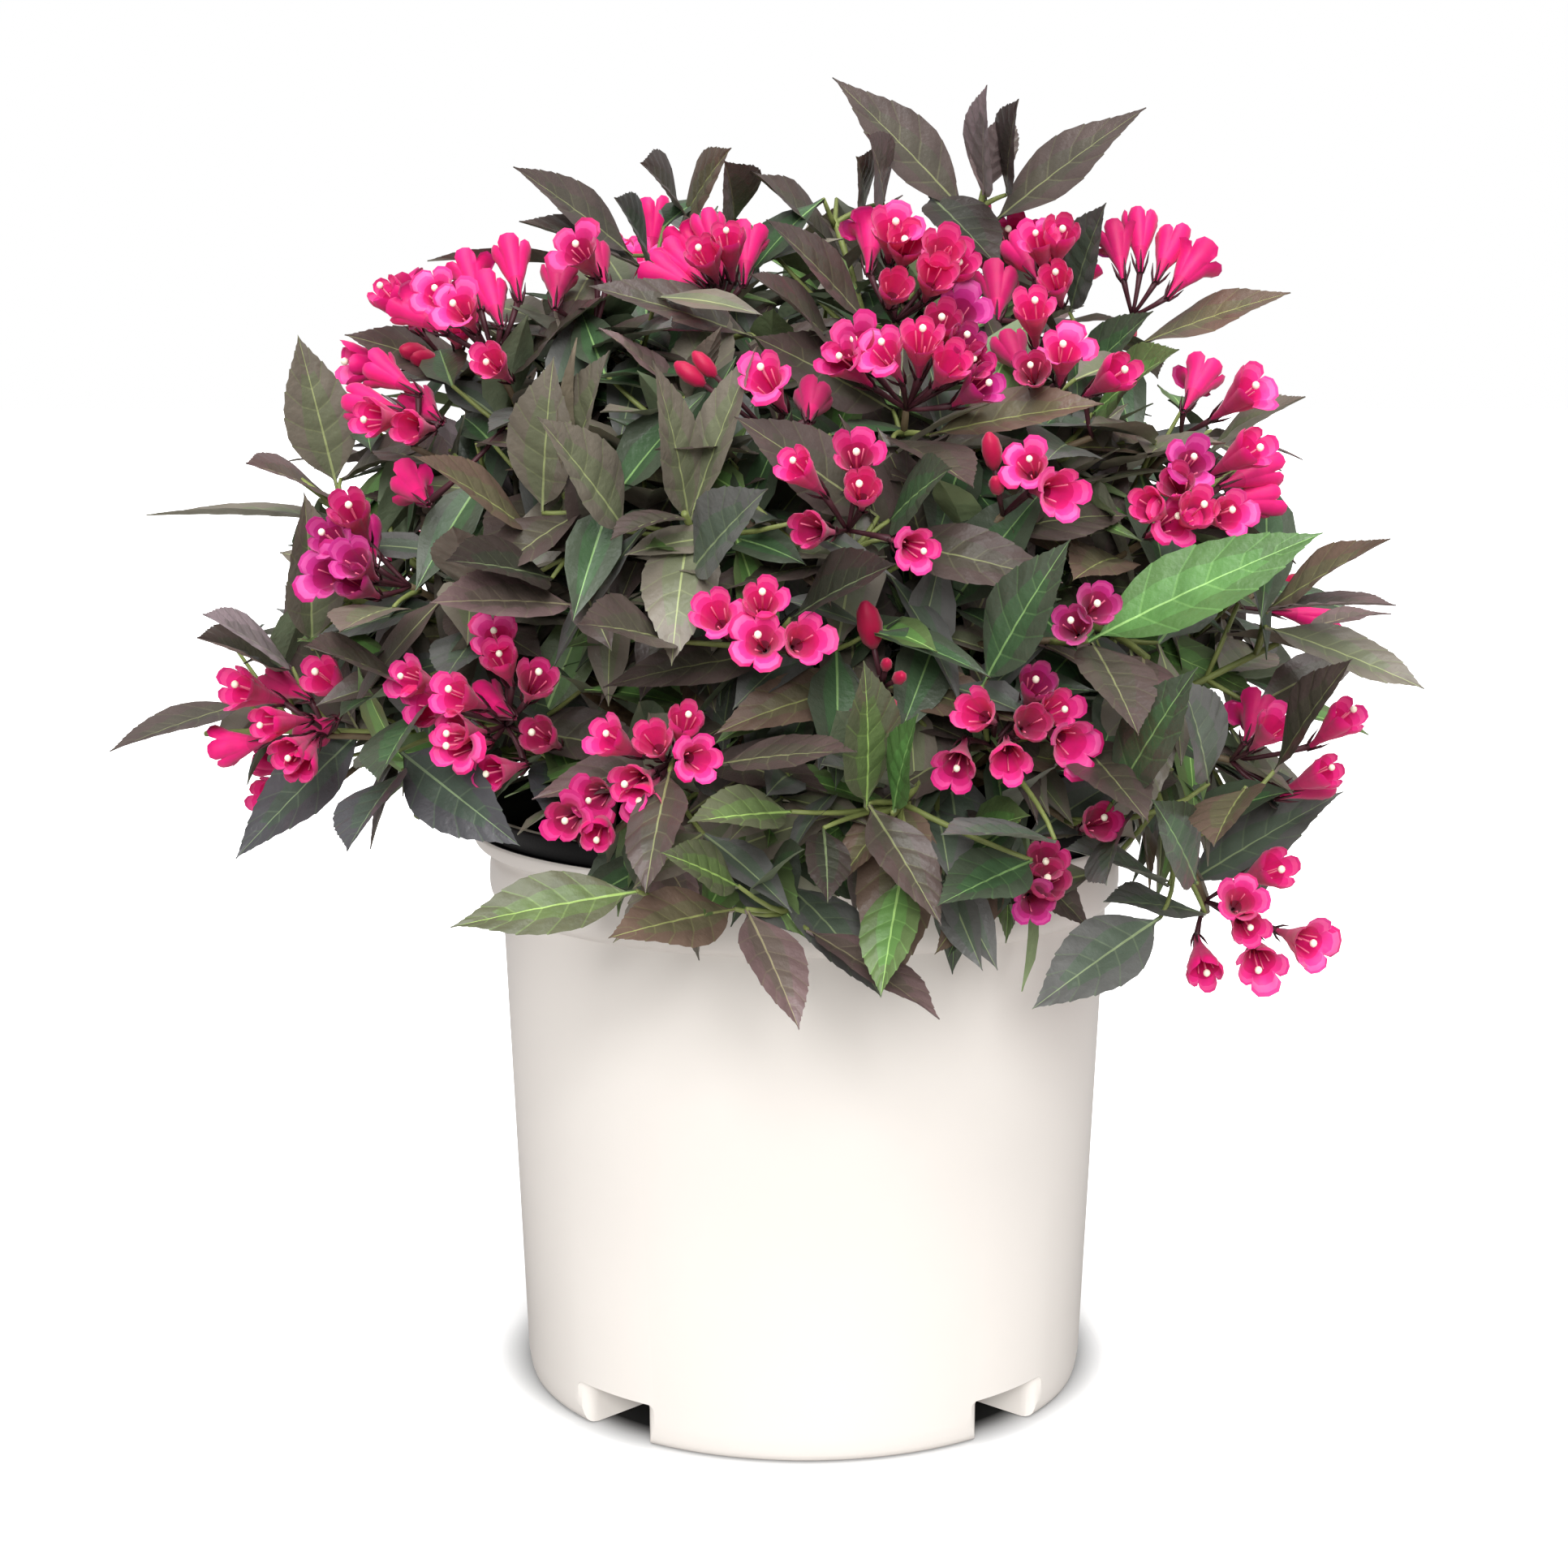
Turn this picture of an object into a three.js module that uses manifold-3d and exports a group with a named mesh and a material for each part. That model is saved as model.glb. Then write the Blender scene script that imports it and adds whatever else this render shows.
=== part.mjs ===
// A weigela in flower in its nursery pot. Millimetres and degrees, +Z up, with the origin on the
// ground at the pot's axis and the photographed side towards -Y.

import * as THREE from 'three';
import { mergeVertices } from 'three/addons/utils/BufferGeometryUtils.js';
import Module from 'manifold-3d';

const wasm = await Module();
wasm.setup();

const GAP = 0.3; // between pieces that touch on the real plant
const UP = new THREE.Vector3(0, 0, 1);

// Pot
const POT_HEIGHT = 240;
const POT_SIDES = 32;
const SOIL_SIDES = 16; // a divisor of the pot's, so that its corners lie under the pot's
const WALL = 1.8;
const FLOOR = 3;
const LIP_RADIUS = 141.5;
const LIP_THICKNESS = 1.6;
const THROAT_RADIUS = 132.6; // the pinch just under the lip
const BAND_RADIUS = 133.6;
const BAND_MIDDLE = 218;
const BODY_TOP = 208;
const BODY_TOP_RADIUS = 129.1;
const BODY_FOOT_RADIUS = 120.8;
const FOOT_RADIUS = 115; // where the rounded foot meets the ground
const FOOT_ROUNDING = 7;
const NOTCH_TURNS = [-38.5, 42, 138, -142];
const NOTCH_WIDTH = 34;
const NOTCH_HEIGHT = 18;
const NOTCH_DEPTH = 42;
const DRAIN_SIZE = 12;

// Potting mix and the short stem in it
const SOIL_TOP = 212;
const SOIL_CROWN = 3; // the mix stands a little higher in the middle
const STUMP_HEIGHT = 42;
const STUMP_RADIUS = 20;
const FLARE_RADIUS = 25;
const STUMP_SIDES = 12;

// Crown. Turn is counted from the front, to the right; lift is counted from the level.
const CROWN_FOOT = new THREE.Vector3(0, 0, 235);
const CROWN_TOP_REACH = 318;
const CROWN_SIDE_REACH = 300;
const CROWN_HANGING_REACH = 208;
const HANGING_LIFT = -14;
const SPREADING_LIFT = 6;
const LOWEST_LEAF = 184;
const SPACE_SLACK = 16; // how far, in degrees, a mass may lean over its border

// Boughs and twigs
const BOUGH_REACH = 108;
const BOUGH_BASE_RADIUS = 3.5;
const BOUGH_TIP_RADIUS = 2.8;
const BOUGH_SIDES = 5;
const BOUGH_STEPS = 3;
const STEM_LENGTH = 36;
const STEM_TIP_RADIUS = 2.1;
const STEM_SIDES = 4;
const TWIG_BASE_RADIUS = 1.8;
const TWIG_TIP_RADIUS = 1.6;
const TWIG_SIDES = 3;
const TWIG_STEPS = 3;

// Leaves and blossom
const LEAF_LENGTH = 72;
const LEAF_WIDTH_SHARE = 0.43;
const LEAF_THICKNESS = 1.6;
const LEAF_WIDEST = 0.42;
const LEAF_SUNK = 0.5; // how far a leaf's root goes past the middle of its twig

// How a leaf may lie, in the order tried, until one is clear of its neighbours.
const LEAF_VARIANTS = [
  {}, { higher: 0.3 }, { higher: -0.3 }, { shorter: 0.78 }, { shorter: 0.78, higher: 0.35 },
];
const LOWEST_NODE = 14; // from the stem to a twig's first pair of leaves

// The pairs of leaves down a twig, for a twig with flowers and for one that is still growing: each
// pair's size, its tilt from the twig, and how far down the next pair is.
const UNDER_FLOWERS = [{ size: 0.9, tilt: 52, next: 27 }, { size: 1, tilt: 54, next: 32 }];
const AT_A_TIP = [
  { size: 0.6, tilt: 16, next: 9 }, { size: 0.97, tilt: 36, next: 27 }, { size: 1, tilt: 50, next: 32 },
];

const FLOWER_LENGTH = 47;
const FLOWER_RADIUS = 10.5;
const FLOWER_LOBES = 5;
const FLOWER_THROAT = 0.72; // how far up its length the hollow of a flower's mouth begins
const FLOWER_SPACING = 3; // along the twig, from its tip down
const CLUSTER_TILTS = [32, 44]; // of the ring round the middle flower, by turns
const FLOWER_SHARE = 0.5; // of a cluster's flowers are solid here
const CLEARANCE = 0.8; // a leaf or twig keeps this far from what has grown before it

const SEED = 20719;

// Shoots as the photograph shows them: where the twig ends, and how many flowers it carries.
const bloom = (turn, lift, reach, flowers) => ({ turn, lift, reach, flowers });
const leafy = (turn, lift, reach) => ({ turn, lift, reach, flowers: 0 });
const MASSES = [
  {
    name: 'top_right', turn: 60, lift: 71,
    shoots: [leafy(70, 74, 279), leafy(16, 86, 274), bloom(49, 62, 243, 5), bloom(78, 58, 256, 4)],
  },
  {
    name: 'top_left', turn: -42, lift: 72,
    shoots: [leafy(-75, 81, 258), leafy(-63, 67, 268), bloom(-24, 68, 233, 7), bloom(-41, 59, 242, 2)],
  },
  {
    name: 'front_upper_right', turn: 22, lift: 55,
    shoots: [bloom(22, 67, 232, 7), bloom(13, 49, 240, 8), bloom(30, 50, 241, 4), bloom(40, 46, 237, 2)],
  },
  {
    name: 'front_upper_left', turn: -17, lift: 44,
    shoots: [bloom(-5, 47, 236, 2), leafy(-13, 37, 242), leafy(-28, 39, 240), leafy(-18, 52, 236)],
  },
  {
    name: 'left_upper', turn: -54, lift: 49,
    shoots: [bloom(-53, 53, 249, 7), bloom(-46, 60, 248, 2), bloom(-42, 47, 242, 2), bloom(-58, 43, 244, 5)],
  },
  {
    name: 'left_middle', turn: -70, lift: 34,
    shoots: [bloom(-52, 31, 222, 6), leafy(-77, 36, 258), leafy(-71, 27, 240), leafy(-38, 30, 230)],
  },
  {
    name: 'front_middle', turn: 9, lift: 33,
    shoots: [
      bloom(4, 36, 238, 5), bloom(-4, 27, 219, 4), bloom(8, 24, 206, 3), bloom(21, 37, 240, 3),
      bloom(28, 27, 219, 2),
    ],
  },
  {
    name: 'right_upper', turn: 48, lift: 40,
    shoots: [bloom(58, 45, 241, 3), bloom(45, 36, 235, 8), leafy(66, 40, 258), leafy(36, 24, 228)],
  },
  {
    name: 'right_low', turn: 63, lift: 20,
    shoots: [leafy(71, 24, 232), bloom(62, 13, 194, 5), bloom(65, -5, 178, 6), leafy(49, 4, 186)],
  },
  {
    name: 'left_low', turn: -54, lift: 19,
    shoots: [bloom(-70, 14, 210, 8), leafy(-86, 10, 256), bloom(-34, 19, 208, 9), leafy(-50, 8, 196)],
  },
  {
    name: 'front_low_left', turn: -12, lift: 21,
    shoots: [bloom(-14, 17, 200, 6), bloom(-23, 9, 184, 3), leafy(-17, 2, 186), leafy(-1, 0, 184)],
  },
  {
    name: 'front_low_right', turn: 23, lift: 21,
    shoots: [bloom(20, 18, 202, 7), bloom(32, 9, 188, 2), bloom(26, 2, 176, 3), leafy(9, 12, 204)],
  },
];

// The far side isn't seen, so its masses are spread evenly and their shoots are drawn by lot, with
// tips this far inside the crown's reach.
const FAR_MASSES = [
  { name: 'far_upper_right', turn: 122, lift: 54, inside: 76 },
  { name: 'far_upper_left', turn: -118, lift: 53, inside: 70 },
  { name: 'far_upper', turn: 178, lift: 58, inside: 66 },
  { name: 'far_low_right', turn: 106, lift: 20, inside: 90 },
  { name: 'far_low_left', turn: -106, lift: 20, inside: 76 },
  { name: 'far_low_behind_right', turn: 154, lift: 23, inside: 72 },
  { name: 'far_low_behind_left', turn: -156, lift: 23, inside: 72 },
];
const FAR_SHOOTS = 4;
const FAR_TURN_SPREAD = 22;
const FAR_LIFT_SPREAD = 15;

const radians = THREE.MathUtils.degToRad;

/** A repeatable stream of numbers from 0 to 1. */
function lots(seed) {
  let state = seed >>> 0;
  return () => {
    state = (state + 0x6d2b79f5) >>> 0;
    let t = Math.imul(state ^ (state >>> 15), state | 1);
    t ^= t + Math.imul(t ^ (t >>> 7), t | 61);
    return ((t ^ (t >>> 14)) >>> 0) / 4294967296;
  };
}

/** The unit vector at a turn and lift. */
function heading(turn, lift) {
  const level = Math.cos(radians(lift));
  return new THREE.Vector3(
    level * Math.sin(radians(turn)),
    -level * Math.cos(radians(turn)),
    Math.sin(radians(lift)),
  );
}

/** How far the crown reaches from its foot at a lift. */
function crownReach(lift) {
  if (lift < SPREADING_LIFT) {
    const share = Math.max(0, (lift - HANGING_LIFT) / (SPREADING_LIFT - HANGING_LIFT));
    return CROWN_HANGING_REACH + share * (CROWN_SIDE_REACH - CROWN_HANGING_REACH);
  }
  const share = (lift - SPREADING_LIFT) / (90 - SPREADING_LIFT);
  return CROWN_SIDE_REACH + share * (CROWN_TOP_REACH - CROWN_SIDE_REACH);
}

// Small solids are kept as corners and triangles until they are joined.

/** Turns a small solid's faces outwards. */
function facingOut(shape) {
  const { corners, faces } = shape;
  const volume = faces.reduce((sum, [a, b, c]) => {
    const cross = new THREE.Vector3().crossVectors(corners[b], corners[c]);
    return sum + corners[a].dot(cross);
  }, 0);
  if (volume < 0) {
    faces.forEach((face) => face.reverse());
  }
  return shape;
}

/** A solid tube along points, with a radius at each. */
function tube(points, radii, sides) {
  const corners = [];
  const faces = [];
  let across = null;
  points.forEach((point, i) => {
    const before = points[Math.max(i - 1, 0)];
    const after = points[Math.min(i + 1, points.length - 1)];
    const along = new THREE.Vector3().subVectors(after, before).normalize();
    if (across === null) {
      across = Math.abs(along.z) < 0.9 ? UP.clone() : new THREE.Vector3(1, 0, 0);
    }
    across.addScaledVector(along, -across.dot(along)).normalize();
    const third = new THREE.Vector3().crossVectors(along, across);
    for (let k = 0; k < sides; k += 1) {
      const angle = (2 * Math.PI * k) / sides;
      corners.push(point.clone()
        .addScaledVector(across, radii[i] * Math.cos(angle))
        .addScaledVector(third, radii[i] * Math.sin(angle)));
    }
  });
  const last = (points.length - 1) * sides;
  for (let ring = 0; ring < last; ring += sides) {
    for (let k = 0; k < sides; k += 1) {
      const next = (k + 1) % sides;
      faces.push([ring + k, ring + next, ring + sides + next]);
      faces.push([ring + k, ring + sides + next, ring + sides + k]);
    }
  }
  for (let k = 1; k < sides - 1; k += 1) {
    faces.push([0, k + 1, k]);
    faces.push([last, last + k, last + k + 1]);
  }
  return facingOut({ corners, faces });
}

/** Turns a place along, across and above a leaf into a point. */
function placer({ root, along, normal }) {
  const across = new THREE.Vector3().crossVectors(normal, along);
  return (x, y, z) => root.clone()
    .addScaledVector(along, x)
    .addScaledVector(across, y)
    .addScaledVector(normal, z);
}

/** A leaf blade: flat above, keeled below, bent down a little past its widest place. */
function blade(leaf) {
  const place = placer(leaf);
  const halfWidth = (leaf.length * LEAF_WIDTH_SHARE) / 2;
  const widest = leaf.length * LEAF_WIDEST;
  const corners = [
    place(-LEAF_SUNK, 0, 0),
    place(widest, halfWidth, 0),
    place(widest, -halfWidth, 0),
    place(0.6 * widest, 0, -LEAF_THICKNESS),
    place(leaf.length, 0, -leaf.bend * leaf.length),
  ];
  return facingOut({ corners, faces: [[0, 2, 1], [0, 3, 2], [0, 1, 3], [1, 2, 4], [2, 3, 4], [3, 1, 4]] });
}

/** The room that a leaf needs: its blade, grown on every side. */
function roomFor(leaf) {
  const place = placer(leaf);
  const halfWidth = (leaf.length * LEAF_WIDTH_SHARE) / 2 + 2 * CLEARANCE;
  const widest = leaf.length * LEAF_WIDEST;
  const corners = [
    place(-LEAF_SUNK, 0, 0),
    place(widest, halfWidth, 0),
    place(widest, -halfWidth, 0),
    place(0.6 * widest, 0, -LEAF_THICKNESS - CLEARANCE),
    place(leaf.length + 2 * CLEARANCE, 0, -leaf.bend * leaf.length),
    place(widest, 0, CLEARANCE),
  ];
  const faces = [[0, 5, 1], [0, 2, 5], [0, 3, 2], [0, 1, 3], [1, 5, 4], [5, 2, 4], [2, 3, 4], [3, 1, 4]];
  return { corners, faces };
}

/** A flower: a funnel with a hollow mouth, grown by a margin. */
function funnel({ root, along, length }, margin) {
  const beside = Math.abs(along.z) < 0.9 ? UP : new THREE.Vector3(1, 0, 0);
  const across = new THREE.Vector3().crossVectors(along, beside).normalize();
  const third = new THREE.Vector3().crossVectors(along, across);
  const radius = FLOWER_RADIUS + margin;
  const corners = [root.clone(), root.clone().addScaledVector(along, length * FLOWER_THROAT)];
  const faces = [];
  for (let k = 0; k < FLOWER_LOBES; k += 1) {
    const angle = (2 * Math.PI * k) / FLOWER_LOBES;
    corners.push(root.clone()
      .addScaledVector(along, length + margin)
      .addScaledVector(across, radius * Math.cos(angle))
      .addScaledVector(third, radius * Math.sin(angle)));
    const here = 2 + k;
    const next = 2 + ((k + 1) % FLOWER_LOBES);
    faces.push([0, here, next], [1, next, here]);
  }
  return facingOut({ corners, faces });
}

/** Whether the segment from p to q passes through the triangle a, b, c. */
function pierces(p, q, a, b, c) {
  const edge1 = new THREE.Vector3().subVectors(b, a);
  const edge2 = new THREE.Vector3().subVectors(c, a);
  const way = new THREE.Vector3().subVectors(q, p);
  const h = new THREE.Vector3().crossVectors(way, edge2);
  const det = edge1.dot(h);
  if (Math.abs(det) < 1e-9) {
    return false;
  }
  const s = new THREE.Vector3().subVectors(p, a);
  const u = s.dot(h) / det;
  if (u < 0 || u > 1) {
    return false;
  }
  const w = s.cross(edge1);
  const v = way.dot(w) / det;
  if (v < 0 || u + v > 1) {
    return false;
  }
  const t = edge2.dot(w) / det;
  return t >= 0 && t <= 1;
}

function trianglesMeet(s, t) {
  for (let i = 0; i < 3; i += 1) {
    const j = (i + 1) % 3;
    if (pierces(s[i], s[j], ...t) || pierces(t[i], t[j], ...s)) {
      return true;
    }
  }
  return false;
}

/** Everything grown so far, so that what grows next can keep clear of it. */
class Thicket {
  constructor() {
    this.grown = [];
  }

  static triangles(shape) {
    return shape.faces.map((face) => {
      const points = face.map((i) => shape.corners[i]);
      return { points, box: new THREE.Box3().setFromPoints(points) };
    });
  }

  add(shape, owner) {
    const box = new THREE.Box3().setFromPoints(shape.corners);
    this.grown.push({ owner, box, triangles: Thicket.triangles(shape) });
  }

  /** Whether a shape is clear of all that grew, apart from the owners that it springs from. */
  isClear(shape, besides) {
    const box = new THREE.Box3().setFromPoints(shape.corners);
    const mine = Thicket.triangles(shape);
    return !this.grown.some((other) => !besides.includes(other.owner)
      && other.box.intersectsBox(box)
      && other.triangles.some((theirs) => theirs.box.intersectsBox(box)
        && mine.some((own) => own.box.intersectsBox(theirs.box)
          && trianglesMeet(own.points, theirs.points))));
  }
}

/** A closed solid from corners and triangles. */
function solidOf({ corners, faces }) {
  const vertProperties = new Float32Array(corners.flatMap((corner) => corner.toArray()));
  const triVerts = new Uint32Array(faces.flat());
  return new wasm.Manifold(new wasm.Mesh({ numProp: 3, vertProperties, triVerts }));
}

/** A closed solid from a three.js geometry. */
function solidFrom(geometry) {
  const bare = geometry.clone();
  bare.deleteAttribute('normal');
  bare.deleteAttribute('uv');
  const merged = mergeVertices(bare, 1e-4);
  const places = merged.attributes.position;
  const corners = [];
  for (let i = 0; i < places.count; i += 1) {
    corners.push(new THREE.Vector3().fromBufferAttribute(places, i));
  }
  const faces = [];
  for (let i = 0; i < merged.index.count; i += 3) {
    const face = [...merged.index.array.slice(i, i + 3)];
    if (new Set(face).size === 3) {
      faces.push(face);
    }
  }
  return solidOf(facingOut({ corners, faces }));
}

/** A three.js geometry from the largest body of a solid, with sealed hollows filled. */
function geometryFrom(solid) {
  const [body] = solid.decompose().sort((a, b) => b.volume() - a.volume());
  const mesh = body.getMesh();
  const geometry = new THREE.BufferGeometry();
  geometry.setAttribute('position', new THREE.BufferAttribute(mesh.vertProperties, 3));
  geometry.setIndex(new THREE.BufferAttribute(mesh.triVerts, 1));
  geometry.computeVertexNormals();
  return geometry;
}

/** Corners and triangles of a solid, for the thicket. */
function shapeFrom(solid) {
  const { vertProperties, triVerts } = solid.getMesh();
  const corners = [];
  for (let i = 0; i < vertProperties.length; i += 3) {
    corners.push(new THREE.Vector3().fromArray(vertProperties, i));
  }
  const faces = [];
  for (let i = 0; i < triVerts.length; i += 3) {
    faces.push([...triVerts.slice(i, i + 3)]);
  }
  return { corners, faces };
}

/** A turned solid from a closed profile of [radius, height] points. */
function turned(profile, sides) {
  const points = profile.map(([radius, height]) => new THREE.Vector2(radius, height));
  const geometry = new THREE.LatheGeometry(points, sides);
  geometry.rotateX(Math.PI / 2);
  return solidFrom(geometry);
}

const finish = (color, roughness) => new THREE.MeshStandardMaterial({ color, roughness, metalness: 0 });
const FINISHES = {
  pot: finish(0xf4f1ea, 0.35),
  soil: finish(0x2b2119, 1),
  stem: finish(0x5a4a35, 0.85),
  foliage: finish(0x4a4a3c, 0.6),
};

const plant = new THREE.Group();

function addNode(name, solid, material) {
  const mesh = new THREE.Mesh(geometryFrom(solid), material);
  mesh.name = name;
  plant.add(mesh);
}

// Pot and potting mix

/** The pot's outside, from the middle of its foot to the edge of its lip. */
function outerProfile() {
  return [
    [0, 0],
    [FOOT_RADIUS, 0],
    [FOOT_RADIUS + 0.7 * (BODY_FOOT_RADIUS - FOOT_RADIUS), 0.25 * FOOT_ROUNDING],
    [BODY_FOOT_RADIUS, FOOT_ROUNDING + 3],
    [BODY_TOP_RADIUS, BODY_TOP],
    [BAND_RADIUS - 0.6, BODY_TOP + 4],
    [BAND_RADIUS, BAND_MIDDLE],
    [THROAT_RADIUS, POT_HEIGHT - 9],
    [THROAT_RADIUS + 3.2, POT_HEIGHT - 4],
    [LIP_RADIUS, POT_HEIGHT - LIP_THICKNESS],
    [LIP_RADIUS - 0.5, POT_HEIGHT],
  ];
}

/** The inside of the wall, from the lip down to the middle of the floor, drawn in by a gap. */
function innerProfile(gap) {
  const inset = WALL + gap;
  return [
    [THROAT_RADIUS + 1.5 - gap, POT_HEIGHT - 3],
    [THROAT_RADIUS - inset, POT_HEIGHT - 9],
    [BAND_RADIUS - inset, BAND_MIDDLE],
    [BAND_RADIUS - 0.6 - inset, BODY_TOP + 4],
    [BODY_TOP_RADIUS - inset, BODY_TOP - 2],
    [BODY_FOOT_RADIUS - inset, FOOT_ROUNDING + 6],
    [FOOT_RADIUS - inset, FLOOR + gap],
    [0, FLOOR + gap],
  ];
}

/** The four hollows at the foot of the wall, grown by a margin on every side. */
function notches(margin) {
  const boxes = NOTCH_TURNS.map((turn) => {
    const outside = BODY_FOOT_RADIUS + 12;
    const inside = BODY_FOOT_RADIUS - NOTCH_DEPTH - margin;
    const height = NOTCH_HEIGHT + margin + 5;
    const box = new THREE.BoxGeometry(NOTCH_WIDTH + 2 * margin, outside - inside, height);
    box.translate(0, -(outside + inside) / 2, NOTCH_HEIGHT + margin - height / 2);
    box.rotateZ(radians(turn));
    return solidFrom(box);
  });
  return wasm.Manifold.union(boxes);
}

/** A drain through the roof of each hollow. */
function drains() {
  const boxes = NOTCH_TURNS.map((turn) => {
    const box = new THREE.BoxGeometry(DRAIN_SIZE, DRAIN_SIZE, 8);
    box.translate(0, -(BODY_FOOT_RADIUS - NOTCH_DEPTH / 2), NOTCH_HEIGHT + WALL / 2);
    box.rotateZ(radians(turn));
    return solidFrom(box);
  });
  return wasm.Manifold.union(boxes);
}

function potSolid() {
  const outside = turned([...outerProfile(), [0, POT_HEIGHT]], POT_SIDES).subtract(notches(0));
  const mouth = [[0, POT_HEIGHT + 5], [LIP_RADIUS - 3, POT_HEIGHT + 5], [LIP_RADIUS - 3, POT_HEIGHT - 0.2]];
  const inside = turned([...mouth, ...innerProfile(0)], POT_SIDES).subtract(notches(WALL));
  return outside.subtract(inside).subtract(drains());
}

function soilSolid() {
  const edge = BAND_RADIUS - WALL - GAP;
  const top = [[0, SOIL_TOP + SOIL_CROWN], [60, SOIL_TOP + SOIL_CROWN * 0.8], [edge - 1, SOIL_TOP]];
  const inner = innerProfile(GAP).filter(([, height]) => height < SOIL_TOP - 1);
  return turned([...top, ...inner], SOIL_SIDES).subtract(notches(WALL + GAP));
}

/** The short stem, with its flare, from a flat cut on the potting mix. */
function stumpSolid(grown) {
  const foot = SOIL_TOP + SOIL_CROWN + GAP - grown;
  const top = SOIL_TOP + SOIL_CROWN + GAP + STUMP_HEIGHT + grown;
  return turned([
    [0, foot],
    [FLARE_RADIUS + grown, foot],
    [STUMP_RADIUS + 1.5 + grown, foot + 9],
    [STUMP_RADIUS + grown, foot + 18],
    [STUMP_RADIUS + grown, top - 12],
    [STUMP_RADIUS - 6 + grown, top - 3],
    [0, top],
  ], STUMP_SIDES);
}

const thicket = new Thicket();
const pot = potSolid();
const soil = soilSolid();
const stump = stumpSolid(0);
const stumpAndGap = stumpSolid(GAP);
addNode('pot', pot, FINISHES.pot);
addNode('potting_mix', soil, FINISHES.soil);
addNode('stem_base', stump, FINISHES.stem);
for (const solid of [pot, soil, stump]) {
  thicket.add(shapeFrom(solid), 'ground');
}

// Crown

/** The far masses with their shoots drawn by lot. */
function farMasses(draw) {
  return FAR_MASSES.map((mass) => {
    const shoots = [];
    for (let i = 0; i < FAR_SHOOTS; i += 1) {
      const around = (2 * Math.PI * (i + 0.5 * draw())) / FAR_SHOOTS;
      const lift = mass.lift + FAR_LIFT_SPREAD * Math.sin(around) - (mass.lift < 40 ? 6 : 0);
      const turn = mass.turn + (FAR_TURN_SPREAD * Math.cos(around)) / Math.cos(radians(mass.lift));
      const reach = crownReach(lift) - mass.inside + 14 * draw();
      const flowers = draw() < 0.66 ? 3 + Math.floor(5 * draw()) : 0;
      shoots.push({ turn, lift, reach, flowers });
    }
    return { ...mass, shoots };
  });
}

/** A limb that bends from one place to another: points along it, with a radius at each. */
function bent(start, middle, end, steps, startRadius, endRadius) {
  const points = new THREE.QuadraticBezierCurve3(start, middle, end).getPoints(steps);
  const radii = points.map((_, i) => startRadius + ((endRadius - startRadius) * i) / steps);
  const length = points.slice(1).reduce((sum, point, i) => sum + point.distanceTo(points[i]), 0);
  return { points, radii, length };
}

/** The place at a share of a limb's steps, and the limb's direction there. */
function placeOn(limb, share) {
  const steps = limb.points.length - 1;
  const step = Math.min(Math.max(Math.floor(share * steps), 0), steps - 1);
  const from = limb.points[step];
  const to = limb.points[step + 1];
  const along = new THREE.Vector3().subVectors(to, from).normalize();
  return { point: from.clone().lerp(to, share * steps - step), along };
}

/** A mass's bough: from inside the stump, past its rim, to where the foliage starts. */
function growBough(mass) {
  const steep = mass.lift / 90;
  const start = CROWN_FOOT.clone().addScaledVector(heading(mass.turn, 0), 13 * (1 - steep) + 3);
  start.z += -14 + 32 * steep;
  const end = CROWN_FOOT.clone().addScaledVector(heading(mass.turn, mass.lift), BOUGH_REACH);
  const middle = start.clone().lerp(end, 0.5).addScaledVector(UP, 5 * (1 - steep));
  return bent(start, middle, end, BOUGH_STEPS, BOUGH_BASE_RADIUS, BOUGH_TIP_RADIUS);
}

/** The stem of a mass, starting face to face with its bough's tip. */
function growStem(bough) {
  const { point, along } = placeOn(bough, 1);
  const start = point.clone().addScaledVector(along, GAP);
  const end = start.clone().addScaledVector(along, STEM_LENGTH);
  return bent(start, start.clone().lerp(end, 0.5), end, 1, BOUGH_TIP_RADIUS, STEM_TIP_RADIUS);
}

/** One shoot, from its place on the stem to its tip. */
function growTwig(stem, shoot, share) {
  const { point, along } = placeOn(stem, share);
  const end = CROWN_FOOT.clone().addScaledVector(heading(shoot.turn, shoot.lift), shoot.reach);
  const middle = point.clone().addScaledVector(along, 0.45 * point.distanceTo(end));
  middle.lerp(point.clone().lerp(end, 0.5), 0.5);
  return bent(point, middle, end, TWIG_STEPS, TWIG_BASE_RADIUS, TWIG_TIP_RADIUS);
}

/** The two directions across a twig: level, and square to it. */
function crossways(along) {
  const level = new THREE.Vector3().crossVectors(along, UP);
  if (level.length() < 0.2) {
    level.set(1, 0, 0);
  }
  level.normalize();
  return [level, new THREE.Vector3().crossVectors(level, along)];
}

/** The unit vector at a tilt from a twig's direction, on the side that a roll gives. */
function branching(along, roll, tilt) {
  const [level, square] = crossways(along);
  return along.clone().multiplyScalar(Math.cos(radians(tilt)))
    .addScaledVector(level, Math.sin(radians(tilt)) * Math.cos(radians(roll)))
    .addScaledVector(square, Math.sin(radians(tilt)) * Math.sin(radians(roll)));
}

/** A leaf at a share of its twig: its size, and the roll and tilt at which it leaves the twig. */
function planLeaf(twig, share, roll, size, tilt, draw) {
  return {
    ...placeOn(twig, share),
    roll: roll + 28 * (draw() - 0.5),
    tilt: tilt + 14 * draw(),
    sag: 0.08 + 0.22 * draw(),
    length: LEAF_LENGTH * size * (0.84 + 0.24 * draw()),
    bend: 0.06 + 0.1 * draw(),
  };
}

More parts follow.
